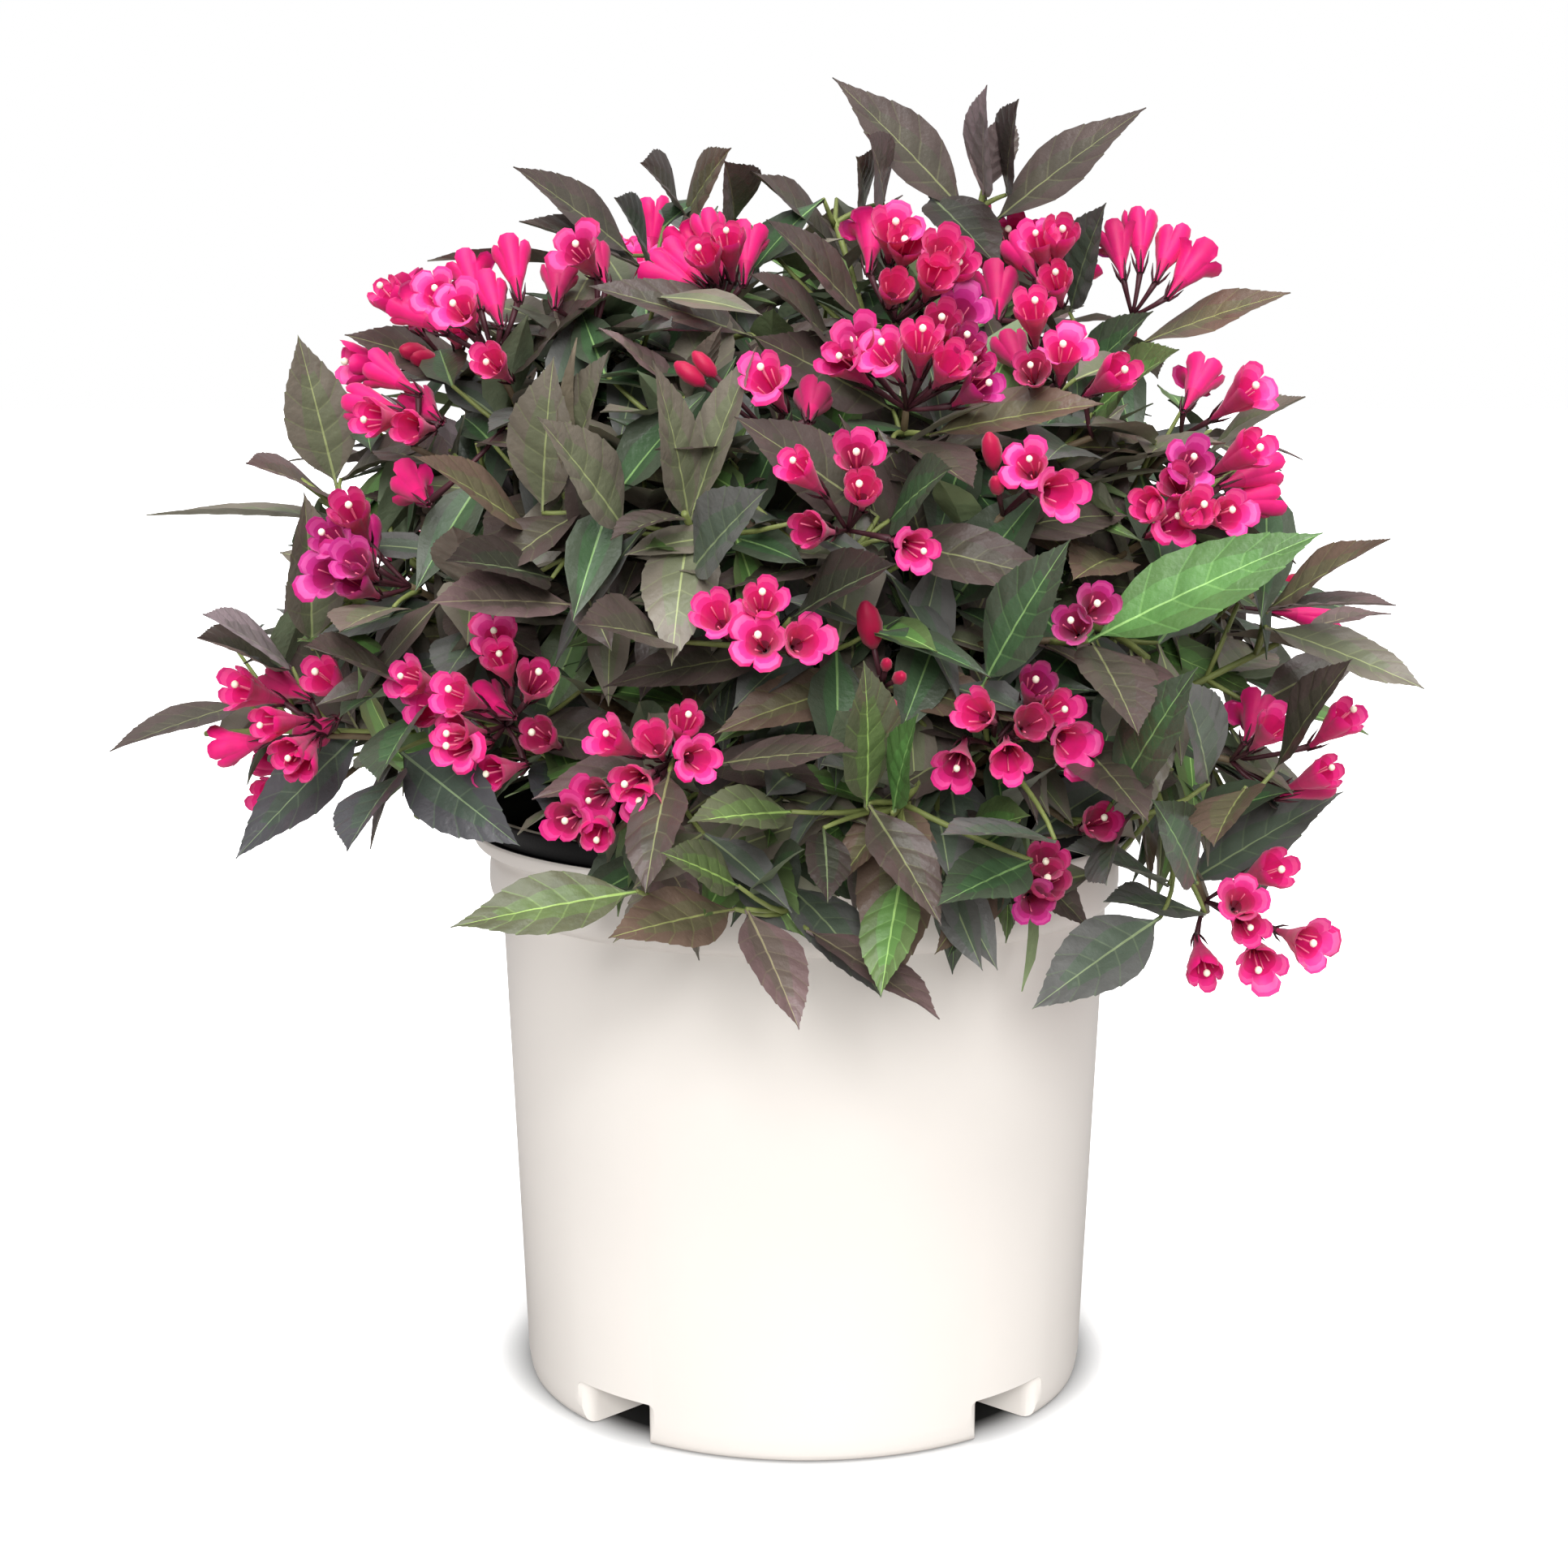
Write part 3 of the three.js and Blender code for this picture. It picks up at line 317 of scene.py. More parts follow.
# Flowers on each shoot, in the photograph's pixels: mouth, foot of the corolla, and letters. They
# are d for deep in colour, p for purplish and o for seen from outside.
FLOWERS_SEEN = {
    ("top_right", 2): [
        (1252, 300, 1278, 345, "o"), (1309, 276, 1300, 332, ""), (1297, 335, 1308, 378, ""),
        (1278, 283, 1288, 340, ""), (1231, 340, 1228, 396, "do")],
    ("top_right", 3): [
        (1405, 262, 1405, 336, "o"), (1449, 287, 1424, 348, "o"), (1480, 312, 1438, 368, "o"),
        (1373, 283, 1384, 345, "do")],
    ("top_left", 2): [
        (868, 262, 893, 345, "o"), (838, 283, 880, 338, "o"), (896, 280, 903, 348, ""),
        (922, 285, 916, 352, "o"), (822, 312, 872, 352, "o"), (805, 333, 868, 360, "o"),
        (862, 302, 886, 350, "")],
    ("top_left", 3): [(703, 298, 738, 342, "d"), (728, 312, 748, 352, "do")],
    ("front_upper_right", 0): [
        (1076, 266, 1070, 338, "o"), (1102, 270, 1094, 325, ""), (1120, 290, 1108, 336, ""),
        (1106, 345, 1094, 380, ""), (1158, 329, 1138, 372, ""), (1188, 315, 1160, 362, ""),
        (1188, 375, 1170, 415, "p"), (1166, 300, 1150, 340, "")],
    ("front_upper_right", 1): [
        (1023, 434, 1076, 478, "d"), (1046, 411, 1080, 462, "d"), (1081, 421, 1112, 472, ""),
        (1135, 404, 1132, 466, ""), (1178, 437, 1150, 480, ""), (1221, 466, 1172, 502, "p"),
        (1164, 385, 1152, 435, "d"), (1196, 412, 1170, 455, "p"), (1206, 440, 1178, 470, "d")],
    ("front_upper_right", 2): [
        (1271, 366, 1277, 430, ""), (1314, 418, 1305, 476, ""), (1272, 450, 1275, 478, "d"),
        (1240, 420, 1262, 462, "do")],
    ("front_upper_right", 3): [(1390, 451, 1336, 488, "")],
    ("front_upper_left", 0): [(934, 452, 968, 508, ""), (1003, 484, 996, 520, "do")],
    ("left_upper", 0): [
        (629, 303, 640, 372, "o"), (573, 322, 592, 382, "o"), (600, 352, 618, 402, "o"),
        (527, 348, 565, 398, ""), (559, 368, 588, 410, ""), (490, 372, 552, 412, "o"),
        (596, 438, 630, 470, "")],
    ("left_upper", 1): [(690, 330, 684, 380, "do")],
    ("left_upper", 2): [(500, 592, 528, 622, "o")],
    ("left_upper", 3): [
        (457, 450, 518, 486, "o"), (432, 494, 498, 506, "o"), (494, 526, 536, 528, ""),
        (507, 492, 545, 520, "do"), (444, 514, 506, 516, "")],
    ("left_middle", 0): [
        (426, 618, 455, 672, "d"), (396, 656, 440, 690, "p"), (446, 648, 462, 700, "po"),
        (428, 684, 466, 716, "p"), (426, 712, 468, 736, "p"), (391, 706, 432, 716, "p")],
    ("front_middle", 0): [
        (972, 566, 1018, 612, ""), (1055, 550, 1056, 596, "d"), (1063, 594, 1062, 628, ""),
        (988, 652, 1028, 656, "d"), (1138, 679, 1098, 664, "")],
    ("front_middle", 1): [
        (875, 747, 898, 786, ""), (939, 732, 940, 772, ""), (936, 784, 944, 806, ""),
        (996, 786, 972, 800, "")],
    ("front_middle", 2): [],
    ("front_middle", 3): [(1264, 565, 1278, 600, ""), (1318, 607, 1268, 604, "")],
    ("front_middle", 4): [(1357, 742, 1336, 762, "p"), (1320, 766, 1330, 786, "p")],
    ("right_upper", 0): [(1487, 453, 1458, 506, "o"), (1555, 469, 1492, 518, "")],
    ("right_upper", 1): [
        (1557, 544, 1488, 586, ""), (1568, 576, 1502, 600, "o"), (1570, 614, 1500, 618, "o"),
        (1406, 618, 1442, 640, ""), (1446, 588, 1458, 620, "d"), (1482, 622, 1450, 652, ""),
        (1525, 630, 1482, 644, ""), (1459, 636, 1412, 662, ""), (1477, 561, 1446, 598, "p")],
    ("right_low", 1): [
        (1578, 885, 1540, 926, ""), (1552, 868, 1534, 915, "do"), (1668, 875, 1612, 922, ""),
        (1649, 946, 1580, 974, ""), (1640, 962, 1572, 984, "do")],
    ("right_low", 2): [
        (1583, 1066, 1524, 1086, ""), (1532, 1106, 1516, 1124, ""), (1542, 1148, 1520, 1122, ""),
        (1555, 1198, 1542, 1150, ""), (1627, 1168, 1572, 1146, ""), (1486, 1206, 1474, 1152, "")],
    ("left_low", 0): [
        (280, 844, 352, 866, ""), (315, 893, 384, 886, ""), (268, 924, 336, 910, "o"),
        (346, 936, 388, 904, ""), (366, 952, 392, 910, ""), (380, 905, 415, 886, "do"),
        (330, 836, 384, 862, "do"), (390, 828, 432, 860, "")],
    ("left_low", 2): [
        (490, 834, 550, 848, ""), (514, 869, 566, 876, ""), (549, 852, 600, 872, ""),
        (547, 900, 600, 902, ""), (590, 858, 634, 884, "o"), (612, 800, 632, 846, ""),
        (608, 772, 626, 822, ""), (665, 830, 648, 866, "d"), (657, 902, 690, 920, "d"),
        (594, 954, 650, 942, ""), (550, 920, 606, 914, "")],
    ("front_low_left", 0): [
        (738, 904, 792, 932, ""), (801, 904, 818, 936, ""), (847, 878, 836, 924, ""),
        (868, 936, 836, 932, ""), (771, 970, 806, 950, ""), (785, 996, 812, 958, "")],
    ("front_low_left", 1): [
        (733, 1036, 748, 998, ""), (727, 984, 758, 972, "d"), (690, 1012, 722, 1000, "d")],
    ("front_low_right", 0): [
        (1194, 874, 1226, 890, ""), (1243, 946, 1240, 908, ""), (1175, 956, 1190, 910, "d"),
        (1276, 888, 1254, 900, "d"), (1313, 869, 1272, 888, ""), (1283, 834, 1262, 870, "p"),
        (1331, 922, 1290, 900, "")],
    ("front_low_right", 1): [(1361, 1011, 1332, 1022, "d")],
    ("front_low_right", 2): [
        (1291, 1055, 1280, 1082, "d"), (1297, 1082, 1276, 1098, "d"), (1279, 1114, 1264, 1100, "p")],
}
# Closed buds in the photograph: shoot, then x, y and length in pixels
BUDS_SEEN = {
    ("front_middle", 2): [(1071, 770, 56), (1092, 819, 26), (1108, 835, 30), (1096, 868, 34)],
    ("front_middle", 3): [(1222, 556, 44), (1228, 598, 34)],
    ("front_upper_left", 0): [(850, 461, 40), (868, 449, 36)],
    ("top_right", 3): [(1393, 410, 34)],
}


# Numbers and directions

def lots(seed):
    """A repeatable stream of numbers from 0 to 1, the same as in the part's source."""
    word = 0xFFFFFFFF
    state = seed & word

    def draw():
        nonlocal state
        state = (state + 0x6D2B79F5) & word
        t = ((state ^ (state >> 15)) * (state | 1)) & word
        t ^= (t + (((t ^ (t >> 7)) * (t | 61)) & word)) & word
        return (t ^ (t >> 14)) / 4294967296

    return draw


def heading(turn, lift):
    """The unit vector at a turn from the front, to the right, and a lift from the level."""
    level = math.cos(math.radians(lift))
    return Vector((
        level * math.sin(math.radians(turn)),
        -level * math.cos(math.radians(turn)),
        math.sin(math.radians(lift)),
    ))


def crown_reach(lift):
    """How far the crown reaches at a lift."""
    if lift < SPREADING_LIFT:
        share = max(0, (lift - HANGING_LIFT) / (SPREADING_LIFT - HANGING_LIFT))
        return CROWN_HANGING_REACH + share * (CROWN_SIDE_REACH - CROWN_HANGING_REACH)
    share = (lift - SPREADING_LIFT) / (90 - SPREADING_LIFT)
    return CROWN_SIDE_REACH + share * (CROWN_TOP_REACH - CROWN_SIDE_REACH)


def crossways(along):
    """The two directions across a limb: level, and square to it."""
    level = along.cross(UP)
    if level.length < 0.2:
        level = SIDEWAYS.copy()
    level.normalize()
    return level, level.cross(along)


def around(across, third, angle):
    """The way at an angle round a limb, from the two directions across it."""
    return across * math.cos(angle) + third * math.sin(angle)


def branching(along, roll, tilt):
    """The unit vector at a tilt from a limb's direction, on the side that a roll gives."""
    level, square = crossways(along)
    out = math.sin(math.radians(tilt))
    return (along * math.cos(math.radians(tilt))
            + level * (out * math.cos(math.radians(roll)))
            + square * (out * math.sin(math.radians(roll))))


# The photograph's camera, in millimetres

CAMERA = Vector(CAMERA_PLACE) / METRE
FOCAL = PICTURE * CAMERA_LENS / CAMERA_SENSOR
CAMERA_AHEAD = Vector((0, math.cos(math.radians(CAMERA_DOWN)), -math.sin(math.radians(CAMERA_DOWN))))
CAMERA_UP = Vector((0, math.sin(math.radians(CAMERA_DOWN)), math.cos(math.radians(CAMERA_DOWN))))


def sight(x, y):
    """The direction from the camera through a place in the picture."""
    way = CAMERA_AHEAD + SIDEWAYS * ((x - PICTURE / 2) / FOCAL) + CAMERA_UP * ((PICTURE / 2 - y) / FOCAL)
    return way.normalized()


def in_picture(points):
    """Where points come in the picture, and how far they are from the camera."""
    away = points - np.array(CAMERA)
    far = away @ np.array(CAMERA_AHEAD)
    x = PICTURE / 2 + FOCAL * away[:, 0] / far
    y = PICTURE / 2 - FOCAL * (away @ np.array(CAMERA_UP)) / far
    return np.stack([x, y], axis=1), far


def within_edge(places):
    """Whether all places in the picture are inside the crown's edge."""
    corners = np.array(CROWN_EDGE, float)
    (x1, y1), (x2, y2) = corners.T, np.roll(corners, -1, axis=0).T
    x, y = places[:, :1], places[:, 1:]
    beside = (y1 > y) != (y2 > y)
    crossed = x < x1 + (y - y1) * (x2 - x1) / np.where(y1 == y2, 1, y2 - y1)
    return ((beside & crossed).sum(axis=1) % 2 == 1).all()


def along_sight(start, x, y, length, beyond=False):
    """The point in the picture's place x, y at a length from a start: the near one, or the one beyond."""
    way = sight(x, y)
    nearest = (start - CAMERA).dot(way)
    flat = (CAMERA + way * nearest - start).length
    rise = math.sqrt(max(length ** 2 - flat ** 2, 0))
    point = CAMERA + way * (nearest + (rise if beyond else -rise))
    if point.y < FRONT_LIMIT:
        point = CAMERA + way * ((FRONT_LIMIT - CAMERA.y) / way.y)
    return point


def on_crown(x, y, share):
    """The near point in the picture's place x, y at a share of the crown's reach, or the nearest to it."""
    way = sight(x, y)
    best, least = None, math.inf
    for far in SIGHT_STEPS:
        point = CAMERA + way * far
        away = point - CROWN_FOOT
        part = away.length / crown_reach(math.degrees(math.asin(away.z / away.length)))
        if part < share:
            return point
        if part < least:
            best, least = point, part
    return best


# Meshes

def placed(name, data):
    """An object of the scene with a mesh, a light or a camera."""
    made = bpy.data.objects.new(name, data)
    bpy.context.scene.collection.objects.link(made)
    return made


class Shapes:
    """Many small shapes, gathered into one mesh."""

    def __init__(self):
        self.points = []
        self.corners = []
        self.sizes = []
        self.slots = []
        self.count = 0

    def add(self, points, slots, *parts):
        """Points by three, each face's material or one for all, and faces as rows of corners.

        Faces with another number of corners come as a part of their own.
        """
        for faces in parts:
            faces = np.asarray(faces, np.int32)
            self.corners.append((faces + self.count).ravel())
            self.sizes.append(np.full(len(faces), faces.shape[1], np.int32))
            self.slots.append(np.broadcast_to(np.asarray(slots, np.int32), len(faces)))
        self.points.append(np.asarray(points, float))
        self.count += len(points)

    def piece(self, name, materials):
        """The gathered mesh as a piece of the part's one body."""
        mesh = bpy.data.meshes.new(name)
        points = np.concatenate(self.points) * METRE
        corners = np.concatenate(self.corners)
        sizes = np.concatenate(self.sizes)
        starts = np.concatenate([[0], np.cumsum(sizes)[:-1]]).astype(np.int32)
        mesh.vertices.add(len(points))
        mesh.vertices.foreach_set("co", points.astype(np.float32).ravel())
        mesh.loops.add(len(corners))
        mesh.loops.foreach_set("vertex_index", corners)
        mesh.polygons.add(len(sizes))
        mesh.polygons.foreach_set("loop_start", starts)
        mesh.polygons.foreach_set("material_index", np.concatenate(self.slots))
        mesh.polygons.foreach_set("use_smooth", np.ones(len(sizes), bool))
        for material in materials:
            mesh.materials.append(material)
        mesh.update(calc_edges=True)
        mesh.validate()
        piece = placed(name, mesh)
        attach(piece, "root")
        return piece


def grid_faces(rows, columns, closed):
    """Quads over rows of points; closed joins each row's last point to its first."""
    faces = []
    for row in range(rows - 1):
        for column in range(columns if closed else columns - 1):
            after = (column + 1) % columns
            faces.append((row * columns + column, row * columns + after,
                          (row + 1) * columns + after, (row + 1) * columns + column))
    return faces


def end_faces(foot, first, top, last, sides):
    """Triangles that close the first ring of points round a foot, and the last ring round a top."""
    faces = []
    for k in range(sides):
        after = (k + 1) % sides
        faces.append((foot, first + after, first + k))
        faces.append((top, last + k, last + after))
    return faces


def add_tube(shapes, points, radii, sides, slot, relief=None):
    """A closed tube along points. relief gives how far the surface stands out at a point."""
    rings = []
    across = None
    for i, point in enumerate(points):
        along = (points[min(i + 1, len(points) - 1)] - points[max(i - 1, 0)]).normalized()
        if across is None:
            across = UP if abs(along.z) < 0.9 else SIDEWAYS
        across = (across - along * across.dot(along)).normalized()
        third = along.cross(across)
        for k in range(sides):
            out = around(across, third, 2 * math.pi * k / sides)
            rings.append(point + out * (radii[i] + (relief(point + out * radii[i]) if relief else 0)))
    caps = end_faces(len(rings), 0, len(rings) + 1, len(rings) - sides, sides)
    shapes.add([*rings, points[0], points[-1]], slot, grid_faces(len(points), sides, True), caps)


def tapering(first, last, steps):
    """Radii along a limb."""
    return [first + (last - first) * i / steps for i in range(steps + 1)]


def ring(radius, height, sides):
    """Points at even steps round the pot's axis."""
    points = []
    for k in range(sides):
        angle = 2 * math.pi * k / sides
        points.append((radius * math.sin(angle), -radius * math.cos(angle), height))
    return points


def lathe(profile, sides):
    """A closed turned solid, from a profile that starts and ends on the axis."""
    points = [(0, 0, profile[0][1])]
    for radius, height in profile[1:-1]:
        points += ring(radius, height, sides)
    points.append((0, 0, profile[-1][1]))
    rings = len(profile) - 2
    faces = [tuple(corner + 1 for corner in face) for face in grid_faces(rings, sides, True)]
    return points, faces + end_faces(0, 1, len(points) - 1, 1 + (rings - 1) * sides, sides)


def solid(name, points, faces):
    """An object in metres from points in millimetres."""
    mesh = bpy.data.meshes.new(name)
    mesh.from_pydata([tuple(c * METRE for c in point) for point in points], [], faces)
    return placed(name, mesh)


# Materials

def linear(red, green, blue):
    """A plain colour from screen values of 0 to 255."""
    def one(value):
        value /= 255
        return value / 12.92 if value <= 0.04045 else ((value + 0.055) / 1.055) ** 2.4
    return one(red), one(green), one(blue), 1


def shade(colour, factor):
    """A colour made lighter or darker."""
    return tuple(min(1, channel * factor) for channel in colour[:3]) + (1,)


def set_sockets(node, values):
    """Puts values on a node's sockets, and returns the node."""
    for socket, value in values.items():
        node.inputs[socket].default_value = value
    return node


def material(name, colour, roughness, *, mottle=0.12, mottle_scale=90, bump=0.15, bump_scale=600,
             specular=0.4, sheen=0, soft=0):
    """A surface whose colour drifts a little about a plain colour, with a fine grain."""
    made = bpy.data.materials.new(name)
    made.use_nodes = True
    nodes = made.node_tree.nodes
    links = made.node_tree.links
    shader = set_sockets(nodes["Principled BSDF"], {
        "Roughness": roughness, "Specular IOR Level": specular, "Sheen Weight": sheen,
        "Subsurface Weight": soft, "Subsurface Radius": (0.004, 0.001, 0.001), "Subsurface Scale": 1,
    })
    place = nodes.new("ShaderNodeTexCoord")
    drift = set_sockets(nodes.new("ShaderNodeTexNoise"), {"Scale": mottle_scale, "Detail": 3})
    ramp = nodes.new("ShaderNodeValToRGB")
    for element, at, factor in zip(ramp.color_ramp.elements, (0.3, 0.7), (1 - mottle, 1 + mottle)):
        element.position = at
        element.color = shade(colour, factor)
    links.new(place.outputs["Object"], drift.inputs["Vector"])
    links.new(drift.outputs["Fac"], ramp.inputs["Fac"])
    links.new(ramp.outputs["Color"], shader.inputs["Base Color"])
    grain = set_sockets(nodes.new("ShaderNodeTexNoise"), {"Scale": bump_scale, "Detail": 2})
    raised = set_sockets(nodes.new("ShaderNodeBump"), {"Strength": bump, "Distance": 0.0006})
    links.new(place.outputs["Object"], grain.inputs["Vector"])
    links.new(grain.outputs["Fac"], raised.inputs["Height"])
    links.new(raised.outputs["Normal"], shader.inputs["Normal"])
    return made


# Each kind of leaf: its blade, the part near the midrib, the midrib, and the underside.
LEAF_COLOURS = {
    "dark_bronze": ((79, 67, 63), (75, 70, 60), (130, 134, 94), (132, 124, 112)),
    # shadowed: dark_bronze made darker, the darkness painted shade
    "shadowed": ((57, 48, 45), (51, 52, 43), (110, 122, 88), (96, 92, 84)),
    "slate": ((73, 73, 76), (68, 80, 70), (126, 146, 110), (128, 134, 130)),
    "plum": ((108, 88, 87), (98, 86, 79), (150, 142, 112), (144, 128, 126)),
    "brown": ((102, 84, 72), (98, 92, 70), (150, 156, 98), (146, 134, 116)),
    "olive": ((116, 109, 97), (110, 114, 90), (162, 172, 120), (156, 154, 136)),
    "grey_green": ((96, 97, 94), (86, 98, 84), (142, 158, 118), (140, 144, 130)),
    "deep_green": ((66, 76, 60), (62, 88, 58), (126, 162, 100), (124, 138, 110)),
    "mid_green": ((92, 112, 68), (96, 134, 72), (160, 200, 116), (146, 164, 120)),
    "bright_green": ((78, 112, 60), (86, 130, 68), (146, 190, 112), (150, 178, 126)),
    "green_bronze": ((90, 94, 70), (94, 112, 68), (160, 192, 106), (146, 156, 118)),
    "young": ((156, 140, 145), (138, 126, 128), (168, 162, 150), (150, 138, 142)),
}
LEAF_KINDS = list(LEAF_COLOURS)
LEAF_PARTS = ["blade", "heart", "vein", "outer_vein", "midrib", "under"]


def blend(colour, other, share):
    """A colour with a share of another in it."""
    return tuple((1 - share) * a + share * b for a, b in zip(colour, other))


def leaf_materials():
    made = []
    for kind, (blade, heart, midrib, under) in LEAF_COLOURS.items():
        vein = blend(heart, midrib, 0.28)
        outer_vein = blend(blend(blade, heart, 0.5), midrib, 0.18)
        for part, colour in zip(LEAF_PARTS, (blade, heart, vein, outer_vein, midrib, under)):
            made.append(material(f"leaf_{kind}_{part}", linear(*colour), 0.62 if part == "under" else 0.4,
                                 mottle=0.16, mottle_scale=70, bump=0.5, bump_scale=420, specular=0.5))
    return made


def leaf_slot(kind, part):
    return LEAF_KINDS.index(kind) * len(LEAF_PARTS) + LEAF_PARTS.index(part)


# The pale colours are a painted highlight on the middle row inside each lobe
BLOSSOM_COLOURS = {
    "tube": (196, 4, 96), "throat": (150, 4, 70),
    "bright_outside": (218, 13, 110), "bright_bell": (210, 22, 112), "bright_inside": (232, 48, 140),
    "bright_pale": (242, 84, 158),
    "deep_outside": (184, 6, 90), "deep_bell": (170, 10, 86), "deep_inside": (202, 28, 114),
    "deep_pale": (216, 58, 134),
    "purplish_outside": (180, 10, 106), "purplish_bell": (162, 14, 96), "purplish_inside": (192, 40, 132),
    "purplish_pale": (206, 72, 150),
    "knob": (250, 238, 216), "filament": (222, 110, 140), "calyx": (70, 34, 42), "bud": (178, 6, 66),
}
BLOSSOM = list(BLOSSOM_COLOURS)
PETALS = {"d": "deep", "p": "purplish"}


def blossom_materials():
    made = []
    for part, colour in BLOSSOM_COLOURS.items():
        of_petal = {} if part in ("knob", "filament", "calyx") else {"sheen": 0.15, "soft": 0.12}
        made.append(material(f"blossom_{part}", linear(*colour), 0.5, mottle=0.1, mottle_scale=160,
                             bump=0.12, bump_scale=500, specular=0.3, **of_petal))
    return made


def slot_of(part):
    return BLOSSOM.index(part)


# Leaves

def fine_rows():
    """Stations along a leaf, with how high each lies, whether it has a tooth, and vein bands."""
    rows = [(0, 0, 0, 0), (0.035, 0, 0, 0)]
    for i in range(VEINS):
        at = FIRST_VEIN + VEIN_APART * i
        rows += [(at, -0.5, 1, 1), (at + 0.011, -0.5, 0, 0)]
        rows += [(at + 0.045, 0.4, 0.8, 0), (at + 0.09, 0.3, 0, 0)]
    rows += [(0.955, 0, 0.4, 0), (1, 0, 0, 0)]
    return np.array(rows)


FINE_ROWS = fine_rows()
COARSE_ROWS = np.array([(u, 0, 0, 0) for u in (0, 0.06, 0.18, 0.32, 0.48, 0.64, 0.8, 0.92, 1)])


def leaf_outline(x):
    """A leaf's half width at a share of its length, from 0 to 1."""
    inside = np.clip((x - PETIOLE) / (1 - PETIOLE), 0, 1)
    below = np.sin(np.pi / 2 * np.minimum(inside / LEAF_WIDEST, 1)) ** 0.85
    above = (1 - np.maximum((inside - LEAF_WIDEST) / (1 - LEAF_WIDEST), 0) ** 2) ** 1.35
    return below * above


def leaf_sheet(leaves, rows):
    """Points of many leaves' upper sides, as leaves by rows by columns by three.

    A leaf is: root, along, normal, length, width, bend, fold, twist, wave, phase. The rows slant
    forward from the midrib as the side veins do.
    """
    root, along, normal = leaves[:, 0:3], leaves[:, 3:6], leaves[:, 6:9]
    length, width, bend, fold, twist, wave, phase = (leaves[:, i, None] for i in range(9, 16))
    across = np.cross(normal, along)
    u, height, tooth = rows[None, :, 0], rows[None, :, 1], rows[None, :, 2]
    columns = []
    for c in range(LEAF_COLUMNS):
        side = -1 if c < LEAF_COLUMNS / 2 else 1
        from_edge = min(c, LEAF_COLUMNS - 1 - c)
        share = (1, 0.62 - 0.4 * u, 0)[from_edge]
        x = u + VEIN_SLANT * u * (1 - u) * share ** 1.3
        shape = leaf_outline(x)
        half = np.maximum(width / 2 * shape, 0.7 * (1 - x) + 0.1)
        rib = np.minimum(0.5 * (1 - u) + 0.08, half * 0.6)
        edge = 1 if from_edge == 0 else 0
        reach = rib + share * (half - rib) + edge * 0.45 * tooth * np.minimum(shape * 1.6, 1)
        x = x + edge * 0.009 * tooth
        up = np.tan(np.radians(fold)) * (reach - rib) * (1 - 0.35 * reach / half)
        up = up + height * (0.25, 1, 0.3)[from_edge] * shape
        up = up + wave * share ** 2 * np.sin(2 * np.pi * u * 1.7 + phase + side) * shape
        up = up - (0.25 if from_edge == 2 else 0)
        turned = np.radians(twist) * u
        y = side * reach * np.cos(turned) - up * np.sin(turned)
        z = side * reach * np.sin(turned) + up * np.cos(turned) - bend * length * x ** 2
        x = x * length - 0.6 * bend * bend * length * x ** 3
        columns.append(root[:, None, :] + x[..., None] * along[:, None, :]
                       + y[..., None] * across[:, None, :] + z[..., None] * normal[:, None, :])
    return np.stack(columns, axis=2)


def add_leaves(shapes, leaves, kinds, rows):
    """Adds leaves of two sheets that meet at the margins: an upper side, and an underside with its raised
    midrib.
    """
    upper = leaf_sheet(leaves, rows)
    normal = leaves[:, None, None, 6:9]
    depth = np.array([0, 0.3, 0.9, 0.9, 0.3, 0])[None, None, :, None]
    depth = depth * (1 - 0.7 * rows[:, 0])[None, :, None, None]
    lower = upper - normal * depth
    bands = len(rows) - 1
    per_leaf = len(rows) * LEAF_COLUMNS
    below = np.array(grid_faces(len(rows), LEAF_COLUMNS, False)) + per_leaf
    top = below[:, [0, 3, 2, 1]] - per_leaf
    column = np.tile(np.arange(LEAF_COLUMNS - 1), bands)
    station = np.repeat(rows[:-1, 0], LEAF_COLUMNS - 1)
    on_vein = np.repeat(rows[:-1, 3], LEAF_COLUMNS - 1) > 0
    heart = ((column == 1) | (column == 3)) & (station < 0.7)
    faces = np.concatenate([top, below])
    offsets = (np.arange(len(leaves)) * 2 * per_leaf)[:, None, None]
    slots = []
    for kind in kinds:
        parts = [leaf_slot(kind, part) for part in ("midrib", "vein", "outer_vein", "heart")]
        blade = leaf_slot(kind, "blade")
        slots.append(np.select([column == 2, on_vein & heart, on_vein, heart], parts, blade))
        slots.append(np.full(len(below), leaf_slot(kind, "under")))
    points = np.stack([upper, lower], axis=1).reshape(-1, 3)
    shapes.add(points, np.concatenate(slots), (faces[None] + offsets).reshape(-1, 4))


# Flowers

